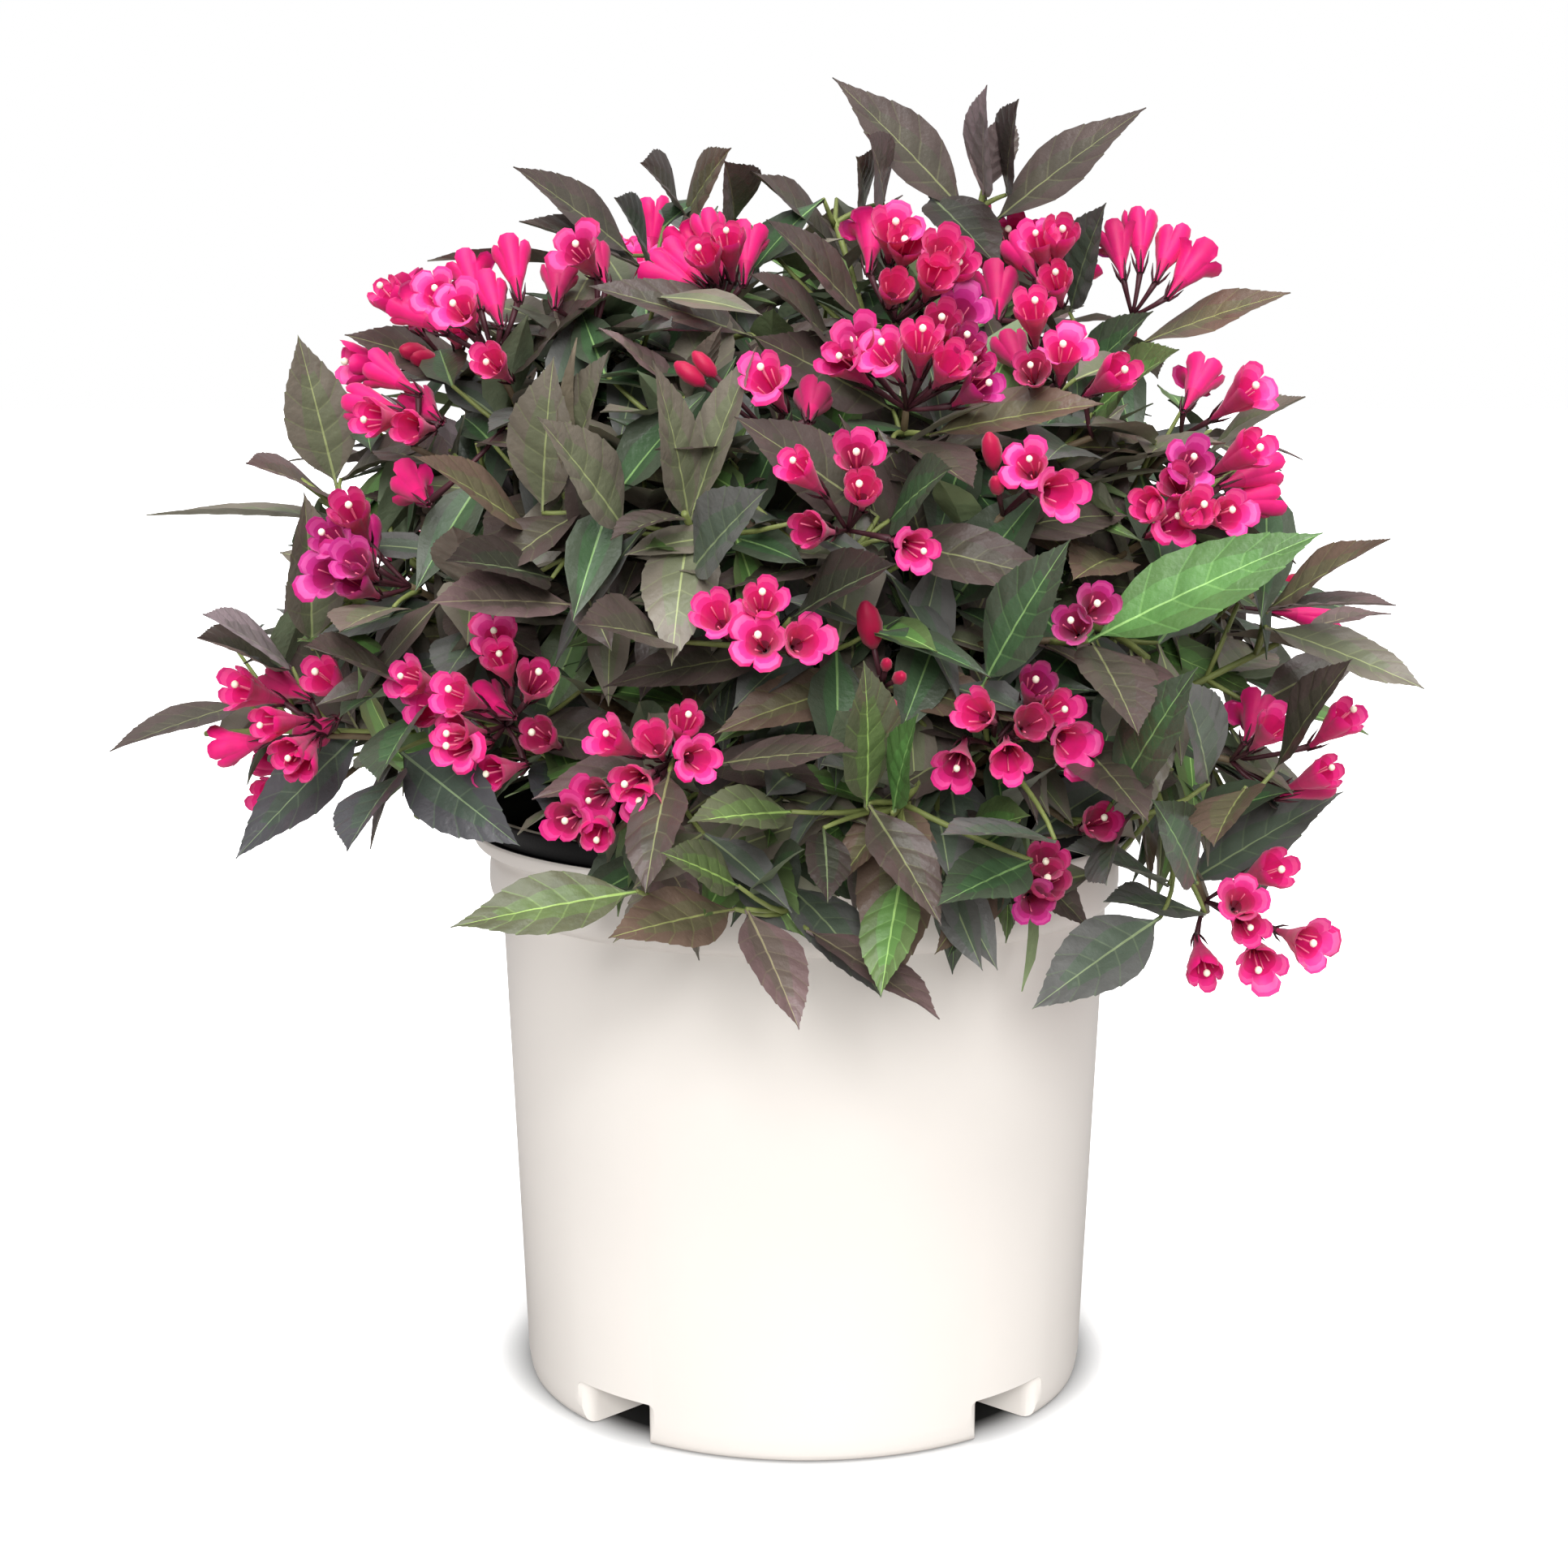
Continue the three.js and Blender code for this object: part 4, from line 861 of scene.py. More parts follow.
def flower_points(flowers):
    """Points of many corollas, rows from the foot of the tube to the lobes' edge.

    A flower is a row: foot, along, across, length, opening, size, flutter, phase.
    """
    foot, along, across = flowers[:, 0:3], flowers[:, 3:6], flowers[:, 6:9]
    length, opening, size, flutter, phase = (flowers[:, i, None] for i in range(9, 14))
    third = np.cross(along, across)
    steps = LOBES * LOBE_STEPS
    k = np.arange(steps)
    u = np.array(LOBE_PLACES)[k % LOBE_STEPS]
    lobe = k // LOBE_STEPS
    angle = 2 * np.pi * (lobe + 0.5 + 0.5 * u) / LOBES
    edge = np.clip(1 - np.abs(u) ** 4, 0, 1) ** 0.5
    reach = (2.8 + 5.5 * edge)[None, :] * size
    reach = reach * (1 + flutter * np.sin(2.3 * lobe[None, :] + phase))
    opening = opening * (1 + 0.6 * np.sin(1.7 * lobe[None, :] + 2 * phase)) + 0.1
    fluting = 0.06 * np.cos(2 * np.pi * (k % LOBE_STEPS) / LOBE_STEPS)
    rows = []
    for share, radius in TUBE_ROWS:
        out = radius * size * (1 - fluting[None, :] * (radius > 4))
        rows.append((np.broadcast_to(share * length, out.shape), out))
    rim_up, rim_out = rows[-1]
    for share in LOBE_ROWS:
        lean = opening * (0.3 + 0.7 * share)
        cup = size * (1.1 * math.sin(math.pi * share) - 0.6 * share ** 3) * edge[None, :]
        rows.append((rim_up + reach * share * np.cos(lean), rim_out + reach * share * np.sin(lean) + cup))
    up, out = (np.stack(part, axis=1) for part in zip(*rows))
    points = (foot[:, None, None, :] + up[..., None] * along[:, None, None, :]
              + (out * np.cos(angle))[..., None] * across[:, None, None, :]
              + (out * np.sin(angle))[..., None] * third[:, None, None, :])
    return points, out, angle


def add_flowers(shapes, flowers, petals):
    """Adds corollas with an inside. The style with its knob, filaments and calyx are added by grow_flower."""
    outer, out, angle = flower_points(flowers)
    across = flowers[:, 6:9]
    third = np.cross(flowers[:, 3:6], across)
    spoke = (np.cos(angle)[None, None, :, None] * across[:, None, None, :]
             + np.sin(angle)[None, None, :, None] * third[:, None, None, :])
    rows, steps = outer.shape[1], outer.shape[2]
    depth = np.array([0.9, 0.8, 0.5, 0.4, 0.35, 0.35, 0.3, 0])[None, :, None, None]
    inner = (outer - spoke * depth)[:, 1:]
    outside = np.array(grid_faces(rows, steps, True))
    inside = np.array(grid_faces(rows - 1, steps, True))[:, ::-1] + rows * steps
    outer_row = np.repeat(np.arange(rows - 1), steps)
    inner_row = np.repeat(np.arange(1, rows - 1), steps)
    per_flower = (2 * rows - 1) * steps
    offsets = (np.arange(len(flowers)) * per_flower)[:, None, None]
    slots = []
    for petal in petals:
        slots.append(np.where(outer_row < 2, slot_of("tube"), slot_of(f"{petal}_outside")))
        # The middle row inside each lobe takes the painted highlight
        slots.append(np.select([inner_row < 2, inner_row < 4, inner_row == 5],
                               [slot_of("throat"), slot_of(f"{petal}_bell"), slot_of(f"{petal}_pale")],
                               slot_of(f"{petal}_inside")))
    points = np.concatenate([outer, inner], axis=1).reshape(-1, 3)
    faces = np.concatenate([outside, inside])
    shapes.add(points, np.concatenate(slots), (faces[None] + offsets).reshape(-1, 4))


def add_ball(shapes, centre, radius, slot, stretch=None):
    """A small faceted ball, or an egg along a direction."""
    rows, sides = 5, 7
    axis = stretch.normalized() if stretch else UP
    across, third = crossways(axis)
    tall = stretch.length if stretch else radius
    points = []
    for row in range(rows):
        tip = math.pi * (row + 0.5) / rows
        for k in range(sides):
            out = around(across, third, 2 * math.pi * k / sides)
            points.append(centre + axis * (tall * math.cos(tip)) + out * (radius * math.sin(tip)))
    caps = end_faces(len(points), 0, len(points) + 1, len(points) - sides, sides)
    points += [centre + axis * tall, centre - axis * tall]
    shapes.add(points, slot, grid_faces(rows, sides, True), caps)


# The crown's plan, by the source's rule

def curve(start, middle, end, steps):
    """A line from start to end that bends towards middle."""
    points = []
    for i in range(steps + 1):
        t = i / steps
        points.append(start * ((1 - t) ** 2) + middle * (2 * t * (1 - t)) + end * (t * t))
    return points


def place_on(points, share):
    """The point at a share of a line of even steps, and the line's direction there."""
    steps = len(points) - 1
    step = min(max(math.floor(share * steps), 0), steps - 1)
    along = (points[step + 1] - points[step]).normalized()
    return points[step].lerp(points[step + 1], share * steps - step), along


def length_of(points):
    return sum((after - before).length for before, after in zip(points, points[1:]))


def far_masses(draw):
    """The masses that the photograph doesn't show, with seeded shoots."""
    masses = []
    for name, mass_turn, mass_lift, inside in FAR_MASSES:
        shoots = []
        for i in range(FAR_SHOOTS):
            spot = 2 * math.pi * (i + 0.5 * draw()) / FAR_SHOOTS
            lift = mass_lift + FAR_LIFT_SPREAD * math.sin(spot) - (FAR_LOWERED if mass_lift < 40 else 0)
            turn = mass_turn + FAR_TURN_SPREAD * math.cos(spot) / math.cos(math.radians(mass_lift))
            reach = crown_reach(lift) - inside + 14 * draw()
            flowers = 3 + math.floor(5 * draw()) if draw() < FAR_BLOOM_SHARE else 0
            shoots.append((turn, lift, reach, flowers))
        masses.append((name, mass_turn, mass_lift, shoots))
    return masses


class Twig:
    """One shoot: its mass and number there, its count of flowers and its line, coarse and as a bend."""

    def __init__(self, mass, number, flowers, bend):
        self.mass = mass
        self.place = (mass, number)
        self.flowers = flowers
        self.bend = bend
        self.line = curve(*bend, 3)
        self.length = length_of(self.line)


def grow_limbs(masses):
    """Each mass's bough and stem lines, and all twigs."""
    boughs, stems, twigs = {}, {}, []
    for name, turn, lift, shoots in masses:
        steep = lift / 90
        start = CROWN_FOOT + heading(turn, 0) * (BOUGH_FOOT_SPREAD * (1 - steep) + BOUGH_FOOT_NEAREST)
        start.z += BOUGH_FOOT_DROP + BOUGH_FOOT_RISE * steep
        end = CROWN_FOOT + heading(turn, lift) * BOUGH_REACH
        middle = start.lerp(end, 0.5) + UP * (BOUGH_ARCH * (1 - steep))
        boughs[name] = (start, middle, end)
        tip, along = place_on(curve(start, middle, end, 3), 1)
        foot = tip + along * GAP
        stems[name] = [foot, foot + along * STEM_LENGTH]
        for i, (shoot_turn, shoot_lift, reach, flowers) in enumerate(shoots):
            point, stem_along = place_on(stems[name], FIRST_SHOOT + SHOOTS_ALONG * i / (len(shoots) - 1))
            tip = CROWN_FOOT + heading(shoot_turn, shoot_lift) * reach
            bend = point + stem_along * (0.45 * (tip - point).length)
            bend = bend.lerp(point.lerp(tip, 0.5), 0.5)
            twigs.append(Twig(name, i, flowers, (point, bend, tip)))
    return boughs, stems, twigs


def plan_flowers(twig, draw):
    """The source's flowers of a shoot, each as a point, a direction and a length."""
    flowers = []
    turned_by = 360 * draw()
    for i in range(twig.flowers):
        point, along = place_on(twig.line, 1 - (FLOWER_SPACING * i + 2) / twig.length)
        roll = turned_by + 360 * i / max(twig.flowers - 1, 1) + 14 * (draw() - 0.5)
        tilt = 6 if i == 0 else CLUSTER_TILTS[i % 2] + 6 * draw()
        length = FLOWER_LENGTH * (0.88 + 0.18 * draw())
        flowers.append((point, branching(along, roll, tilt), length))
    return flowers


Leaf = namedtuple("Leaf", "root along normal length bend")


def plan_leaf(line, share, roll, size, tilt, draw):
    point, twig_along = place_on(line, share)
    roll += 28 * (draw() - 0.5)
    tilt += 14 * draw()
    sag = 0.08 + 0.22 * draw()
    length = LEAF_LENGTH * size * (0.84 + 0.24 * draw())
    bend = 0.06 + 0.1 * draw()
    along = (branching(twig_along, roll, tilt) - UP * sag).normalized()
    normal = twig_along * 0.6 + UP * 0.7
    normal = (normal - along * normal.dot(along)).normalized()
    return Leaf(point, along, normal, length, bend)


def plan_leaves(twig, draw):
    """The source's leaves of a shoot, with how many pairs from the tip each is."""
    leaves = []
    growth = UNDER_FLOWERS if twig.flowers else AT_A_TIP
    at = twig.length - FLOWER_SPACING * twig.flowers - 3
    pair = 0
    while at > LOWEST_NODE:
        size, tilt, after = growth[min(pair, len(growth) - 1)]
        for side in (0, 180):
            leaf = plan_leaf(twig.line, at / twig.length, 90 * (pair % 2) + side, size, tilt, draw)
            leaves.append((leaf, pair))
        at -= after
        pair += 1
    return leaves


class Crowd:
    """Balls that are taken by flowers, and the flowers and leaves that stay in the photograph's view."""

    def __init__(self):
        self.balls = []
        self.mouths = []
        self.shown = None

    def take(self, centre, radius):
        self.balls.append((*centre, radius))

    def show(self, x, y, radius, point):
        """Keeps a round place of the picture free of what is nearer than a point."""
        self.mouths.append((x, y, radius, in_picture(np.array([point]))[1][0] + DEPTH_MARGIN))

    def settle(self):
        """Turns what has been gathered into tables, before the first question."""
        self.balls = np.array(self.balls)
        self.mouths = np.array(self.mouths)

    def is_clear(self, points):
        """Whether points are outside all balls."""
        gaps = points[:, None, :] - self.balls[None, :, :3]
        return not ((gaps ** 2).sum(axis=2) < self.balls[None, :, 3] ** 2).any()

    def hides_flowers(self, points):
        """How many mouths of flowers the points come before."""
        places, far = in_picture(points)
        x, y, radius, depth = self.mouths.T
        apart = np.hypot(places[:, :1] - x, places[:, 1:] - y)
        return ((apart < radius) & (far[:, None] < depth)).any(axis=0).sum()

    def is_open(self, points):
        """Whether points leave the picture's openings, flowers and leaves that stand out in view."""
        places, far = in_picture(points)
        if not within_edge(places):
            return False
        x, y, radius = np.array(OPENINGS, float).T
        if (np.hypot(places[:, :1] - x, places[:, 1:] - y) < radius).any():
            return False
        if self.hides_flowers(points):
            return False
        root_x, root_y, line_x, line_y, width, depth = self.shown.T
        along = (places[:, :1] - root_x) * line_x + (places[:, 1:] - root_y) * line_y
        along = np.clip(along / (line_x ** 2 + line_y ** 2), 0, 1)
        apart = np.hypot(places[:, :1] - root_x - along * line_x, places[:, 1:] - root_y - along * line_y)
        over = (apart < SHOWN_WIDTH * width) & (far[:, None] < depth + DEPTH_MARGIN)
        return not (over.sum(axis=0) > 1).any()


def keeps_in(points, share=1):
    """Whether points stay within a share of the crown's reach and out of the pot."""
    away = points - np.array(CROWN_FOOT)
    reach = np.linalg.norm(away, axis=1)
    lift = np.degrees(np.arcsin(away[:, 2] / reach))
    if any(r > share * crown_reach(l) for r, l in zip(reach, lift)) or points[:, 2].min() < LOWEST_LEAF:
        return False
    radius = np.hypot(points[:, 0], points[:, 1])
    in_pot = (radius < LIP_RADIUS + LIP_CLEARANCE) & (points[:, 2] < POT_HEIGHT + 2)
    over_soil = (radius < THROAT_RADIUS - THROAT_CLEARANCE) & (points[:, 2] > SOIL_TOP + SOIL_CROWN + 3)
    return not (in_pot & ~over_soil).any()


def spine(leaf, width):
    """Points along a leaf's middle and edges."""
    root, along, normal, length, bend = leaf
    across = normal.cross(along)
    places = [(0.3, 0), (0.5, 0.5), (0.5, -0.5), (0.75, 0.3), (0.75, -0.3), (1, 0)]
    return np.array([
        tuple(root + along * (u * length) + across * (v * width) - normal * (bend * length * u * u))
        for u, v in places
    ])


def over_liner(leaf):
    """Whether a leaf would cut through the liner's lip."""
    points = spine(leaf, leaf.length * PLANNED_WIDTH)
    radius = np.hypot(points[:, 0], points[:, 1])
    at_lip = (radius > THROAT_RADIUS - THROAT_CLEARANCE) & (radius < LIP_RADIUS + LIP_CLEARANCE)
    return (at_lip & (points[:, 2] < POT_HEIGHT + LINER_RISE + 1)).any()


# Kinds of the leaves of the first, the second and the further pairs from a tip
KINDS_UNDER_FLOWERS = [
    ["dark_bronze", "dark_bronze", "grey_green", "brown", "dark_bronze", "plum"],
    ["dark_bronze", "grey_green", "dark_bronze", "deep_green", "brown"],
    ["deep_green", "grey_green", "dark_bronze", "deep_green", "mid_green"],
]
KINDS_AT_A_TIP = [
    ["plum", "plum", "dark_bronze"],
    ["olive", "brown", "dark_bronze", "grey_green", "dark_bronze"],
    ["olive", "deep_green", "brown", "dark_bronze"],
]
KINDS_LOW = [
    ["brown", "plum", "dark_bronze"],
    ["brown", "olive", "grey_green", "mid_green"],
    ["mid_green", "deep_green", "olive"],
]
KINDS_INSIDE = ["deep_green", "deep_green", "grey_green", "mid_green", "olive", "dark_bronze", "deep_green"]


def pick(options, lot):
    return options[int(lot * len(options))]


def leaf_kind(twig, pair, lot):
    """A leaf's kind, by its age and where it grows."""
    kinds = KINDS_UNDER_FLOWERS if twig.flowers else KINDS_AT_A_TIP
    if twig.mass.startswith(("front_low", "right_low")):
        kinds = KINDS_LOW
    return pick(kinds[min(pair, 2)], lot)


class Region:
    """What grows in one part of the crown, before it is joined."""

    def __init__(self):
        self.leaves = []
        self.kinds = []
        self.inner_leaves = []
        self.inner_kinds = []
        self.flowers = []
        self.petals = []
        self.details = Shapes()
        self.wood = Shapes()


def leaf_row(leaf, draw, width=None):
    """A leaf as a row for leaf_sheet. One with a width of its own keeps its bend as well."""
    seeded_width = leaf.length * (0.37 + 0.08 * draw())
    fold = 8 + 20 * draw()
    twist = 50 * (draw() - 0.5)
    wave = 1.6 * draw()
    phase = PHASE * draw()
    seeded_bend = leaf.bend + 0.1 * draw()
    width, bend = (width, leaf.bend) if width else (seeded_width, seeded_bend)
    return [*leaf.root, *leaf.along, *leaf.normal, leaf.length, width, bend, fold, twist, wave, phase]


def grow_crown():
    """Plans the whole crown and returns the limbs and the regions' contents."""
    draw = lots(SEED)
    fine = lots(SEED + 1)
    boughs, stems, twigs = grow_limbs(MASSES + far_masses(draw))
    regions = {name: Region() for name in REGIONS}
    region_of = {mass: regions[name] for name, members in REGIONS.items() for mass in members}
    crowd = Crowd()

    for twig in twigs:
        planned = plan_flowers(twig, draw)
        if twig.place in FLOWERS_SEEN:
            grow_seen_flowers(region_of[twig.mass], crowd, twig, fine)
        else:
            grow_planned_flowers(region_of[twig.mass], crowd, twig, planned, fine)
    crowd.settle()
    crowd.shown = grow_features(region_of, twigs, crowd, lots(SEED + 2))

    for twig in twigs:
        region = region_of[twig.mass]
        for leaf, pair in plan_leaves(twig, draw):
            if keep_leaf(leaf, crowd):
                row, kind = leaf_row(leaf, fine), leaf_kind(twig, pair, fine())
                if not over_liner(leaf):
                    region.leaves.append(row)
                    region.kinds.append(kind)
        grow_finer(region, twig, crowd, fine)
        line = curve(*twig.bend, 9)
        while len(line) > 4 and twig.place not in FLOWERS_SEEN and in_an_opening(line[-1], 6):
            line.pop()
        radii = tapering(TWIG_BASE_RADIUS, TWIG_TIP_RADIUS, len(line) - 1)
        add_tube(region.wood, line, radii, 7, 0 if twig.flowers else 1)

    for name, line in stems.items():
        add_tube(region_of[name].wood, curve(line[0], line[0].lerp(line[1], 0.5), line[1], 4),
                 [BOUGH_TIP_RADIUS, 2.6, 2.5, 2.3, STEM_TIP_RADIUS], 8, 2)
    return boughs, regions


def in_an_opening(point, margin=20):
    """Whether a place comes in one of the picture's openings, or within a margin of one."""
    (place,), _ = in_picture(np.array([tuple(point)]))
    return any(math.hypot(place[0] - x, place[1] - y) < radius + margin for x, y, radius in OPENINGS)


def keep_leaf(leaf, crowd, share=1):
    points = spine(leaf, leaf.length * PLANNED_WIDTH)
    return keeps_in(points, share) and crowd.is_clear(points) and crowd.is_open(points)


def feature_leaf(root_x, root_y, tip_x, tip_y, wide, share):
    """A leaf from one place of the picture to another, as a plan and its width."""
    root = on_crown(root_x, root_y, share)
    tip = along_sight(root, tip_x, tip_y, FEATURE_LENGTH)
    length = (tip - root).length
    towards = (CAMERA - root).normalized()
    along = (tip - root).normalized()
    facing = (towards - along * towards.dot(along)).normalized()
    pixel = PIXEL * (tip - CAMERA).length / AXIS_FAR
    width = max(min(0.43 * length, 34), 0.92 * wide * pixel)
    turned = math.acos(min(wide * pixel / width, 1))
    edge = along.cross(facing)
    side = 1 if edge.z > 0 else -1
    normal = facing * math.cos(turned) + edge * (side * math.sin(turned))
    bend = 0.08
    along = (tip - root + normal * (bend * length)).normalized()
    normal = (normal - along * normal.dot(along)).normalized()
    return Leaf(root, along, normal, length, bend), width


def grow_features(region_of, twigs, crowd, draw):
    """Grows the leaves that stand out, each on a fine twig, and returns where the picture shows them."""
    shown = []
    for root_x, root_y, tip_x, tip_y, wide, kind in FEATURE_LEAVES:
        fewest = math.inf
        for share in FEATURE_SHARES:
            tried, tried_width = feature_leaf(root_x, root_y, tip_x, tip_y, wide, share)
            points = spine(tried, tried_width * 0.8)
            hidden = 2 * crowd.hides_flowers(points) + (not crowd.is_clear(points))
            if hidden < fewest:
                fewest, leaf, width = hidden, tried, tried_width
        reach = (leaf.root - CROWN_FOOT).length
        least = math.inf
        for twig in twigs:
            for step in range(12):
                point, point_along = place_on(twig.line, 0.15 + 0.8 * step / 11)
                gap = (point - leaf.root).length
                gap += 2 * max((point - CROWN_FOOT).length - reach + 0.4 * gap, 0)
                if gap < least:
                    least, start, along, carrier = gap, point, point_along, twig
        region = region_of[carrier.mass]
        region.leaves.append(leaf_row(leaf, draw, width))
        region.kinds.append(kind)
        apart = (start - leaf.root).length
        middle = start + along * (0.35 * apart)
        middle = middle.lerp(leaf.root - leaf.along * (0.3 * apart), 0.5)
        add_tube(region.wood, curve(start, middle, leaf.root, 5), [1.3, 1.2, 1.1, 1.0, 0.9, 0.8], 6, 1)
        places, far = in_picture(np.array([tuple(leaf.root), tuple(leaf.root + leaf.along * leaf.length)]))
        shown.append((*places[0], *(places[1] - places[0]), wide, far.min()))
    return np.array(shown)


def grow_seen_flowers(region, crowd, twig, draw):
    """A shoot's flowers and buds where the photograph shows them."""
    tip = twig.line[-1]
    for x, y, foot_x, foot_y, letters in FLOWERS_SEEN[twig.place]:
        foot = along_sight(tip, foot_x, foot_y, STALK_LENGTH)
        near = ((foot - CAMERA).length / AXIS_FAR) ** 0.7
        corolla = COROLLA_LENGTH * near * (0.94 + 0.16 * draw())
        mouth = along_sight(foot, x, y, corolla, "o" in letters)
        grow_flower(region, crowd, tip, foot, mouth, near, PETALS.get(letters[:1], "bright"), draw)
        crowd.show(x, y, MOUTH_PIXELS, mouth)
    for x, y, tall in BUDS_SEEN.get(twig.place, []):
        centre = along_sight(tip, x, y, 26)
        grow_bud(region, tip, centre, 0.5 * tall * PIXEL)
        crowd.show(x, y, 0.45 * tall, centre)


def grow_planned_flowers(region, crowd, twig, planned, draw):
    """A shoot's flowers and buds by the source's rule, apart from those in the picture's openings."""
    for point, along, length in planned:
        mouth = point + along * length
        if in_an_opening(mouth):
            continue
        foot = mouth - along * COROLLA_LENGTH * (0.86 + 0.16 * draw())
        grow_flower(region, crowd, point, foot, mouth, 1, "deep" if draw() < 0.2 else "bright", draw)
    if twig.flowers:
        grow_buds(region, twig, draw)


def grow_flower(region, crowd, point, foot, mouth, scale, petal, draw):
    """One flower: its stalk, calyx, corolla, style and filaments."""
    details, calyx, filament = region.details, slot_of("calyx"), slot_of("filament")
    size = (0.8 + 0.17 * draw()) * scale
    along = (mouth - foot).normalized()
    corolla = (mouth - foot).length
    across, third = crossways(along)
    opening = 0.38 * draw() + (0.5 if draw() < 0.2 else 0)
    flutter = 0.08 + 0.14 * draw()
    region.flowers.append([*foot, *along, *across, corolla, opening, size, flutter, PHASE * draw()])
    region.petals.append(petal)
    crowd.take(mouth - along * 5, 8.5 * size)
    crowd.take(mouth - along * 17, 5 * size)
    side = around(across, third, PHASE * draw()) * 1.2
    middle = point.lerp(foot, 0.5) - along * (0.12 * (foot - point).length)
    add_tube(details, curve(point, middle, foot + along * 1.5, 3), [0.8, 0.9, 1.1, 1.5], 5, calyx)
    for k in range(LOBES):
        out = around(across, third, 2 * math.pi * (k + draw() * 0.4) / LOBES)
        base = foot - along * 0.5 + out
        tip = foot + along * (8 + 2 * draw()) + out * (3.2 + 1.2 * draw())
        add_tube(details, [base, base.lerp(tip, 0.5) + out * 0.3, tip], [0.55, 0.6, 0.12], 3, calyx)
    knob = foot + along * (corolla * (0.86 + 0.12 * draw())) + side
    if draw() < 0.7:
        style = [foot + along * 4, foot.lerp(knob, 0.6) + side * 0.4, knob]
        add_tube(details, style, [0.4, 0.4, 0.45], 3, filament)
        add_ball(details, knob, 1.7 * size, slot_of("knob"))
    for k in range(3):
        out = around(across, third, 2 * math.pi * (k + 0.6 * draw()) / 3)
        end = foot + along * (corolla * (0.66 + 0.14 * draw())) + out * 3.8
        add_tube(details, [foot + along * 8 + out * 1.4, end], [0.25, 0.35], 3, filament)


def grow_bud(region, point, centre, half):
    """One closed bud on its stalk."""
    along = (centre - point).normalized()
    add_tube(region.details, [point, centre - along * (0.9 * half)], [0.8, 1.1], 5, slot_of("calyx"))
    add_ball(region.details, centre, 0.5 * half, slot_of("bud"), along * half)


def grow_buds(region, twig, draw):
    """A few closed buds among the flowers."""
    for i in range(1 + int(2.4 * draw())):
        point, along = place_on(twig.line, 1 - (4 + 5 * i) / twig.length)
        way = branching(along, 360 * draw(), 18 + 30 * draw())
        length = 20 + 9 * draw()
        grow_bud(region, point, point + way * (0.55 * length + 8), 7 + 3 * draw())


def grow_finer(region, twig, crowd, draw):
    """Finer twigs from a shoot's nodes, with small pairs of leaves that fill the crown's inside."""
    at = twig.length - FLOWER_SPACING * twig.flowers - 20
    node = 0
    while at > 6:
        point, along = place_on(twig.line, at / twig.length)
        for side in (0, 180):
            if draw() < 0.25:
                continue
            roll = 90 * (node % 2) + side + 40 * (draw() - 0.5)
            way = branching(along, roll, 38 + 20 * draw())
            length = 26 + 26 * draw()
            line = curve(point, point + way * (0.5 * length), point + way * length + UP * (0.12 * length), 3)
            if not keeps_in(np.array([tuple(line[-1])])):
                continue
            leaves = []
            for pair, (size, tilt) in enumerate(ON_FINER_TWIGS):
                for turn in (0, 180):
                    leaf = plan_leaf(line, 1 - 0.55 * pair, 90 * pair + turn + 30 * draw(), size, tilt, draw)
                    if keep_leaf(leaf, crowd, FINER_REACH):
                        leaves.append((leaf, pair))
            for leaf, pair in leaves:
                row, kind = leaf_row(leaf, draw), pick(KINDS_INSIDE, draw())
                if not over_liner(leaf):
                    region.inner_leaves.append(row)
                    region.inner_kinds.append(kind)
            if leaves:
                end = 1 if any(pair == 0 for _, pair in leaves) else 0.45
                line = [place_on(line, end * i / 3)[0] for i in range(4)]
                add_tube(region.wood, line, [1.2, 1.1, 1.0, 0.8], 5, 1)
        at -= 24
        node += 1


boughs, regions = grow_crown()
of_leaves = leaf_materials()
of_blossom = blossom_materials()
of_wood = [
    material("stem_flowering", linear(96, 82, 60), 0.6, mottle=0.2, mottle_scale=120, bump=0.3),
    material("stem_green", linear(122, 132, 74), 0.55, mottle=0.18, mottle_scale=120, bump=0.25),
    material("stem_brown", linear(104, 82, 58), 0.8, mottle=0.3, mottle_scale=160, bump=0.6, bump_scale=400),
]

for name, region in regions.items():
    nodes = [f"foliage_{mass}" for mass in REGIONS[name]]
    leaves = Shapes()
    add_leaves(leaves, np.array(region.leaves), region.kinds, FINE_ROWS)
    add_leaves(leaves, np.array(region.inner_leaves), region.inner_kinds, COARSE_ROWS)
    piece = leaves.piece(f"leaves_{name}", of_leaves)
    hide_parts(*nodes)
    add_flowers(region.details, np.array(region.flowers), region.petals)
    piece = region.details.piece(f"blossom_{name}", of_blossom)
    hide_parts(*nodes)
    piece = region.wood.piece(f"twigs_{name}", of_wood)
    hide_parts(*nodes)


# Boughs and the short stem, with bark

def bark_relief(point):
    """Long ridges and small pores."""
    ridge = noise.noise(Vector((point.x * 0.5, point.y * 0.5, point.z * 0.06)))
    pore = noise.noise(point * 0.9)
    return 0.45 * ridge + 0.25 * pore


limbs = Shapes()
for start, middle, end in boughs.values():
    radii = tapering(BOUGH_BASE_RADIUS, BOUGH_TIP_RADIUS, BOUGH_STEPS)
    add_tube(limbs, curve(start, middle, end, BOUGH_STEPS), radii, 12, 0, bark_relief)
bark = material("bark", linear(112, 90, 66), 0.85, mottle=0.35, mottle_scale=220, bump=0.8, bump_scale=500)
piece = limbs.piece("boughs", [bark])
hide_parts(*[f"bough_{mass}" for mass in boughs])


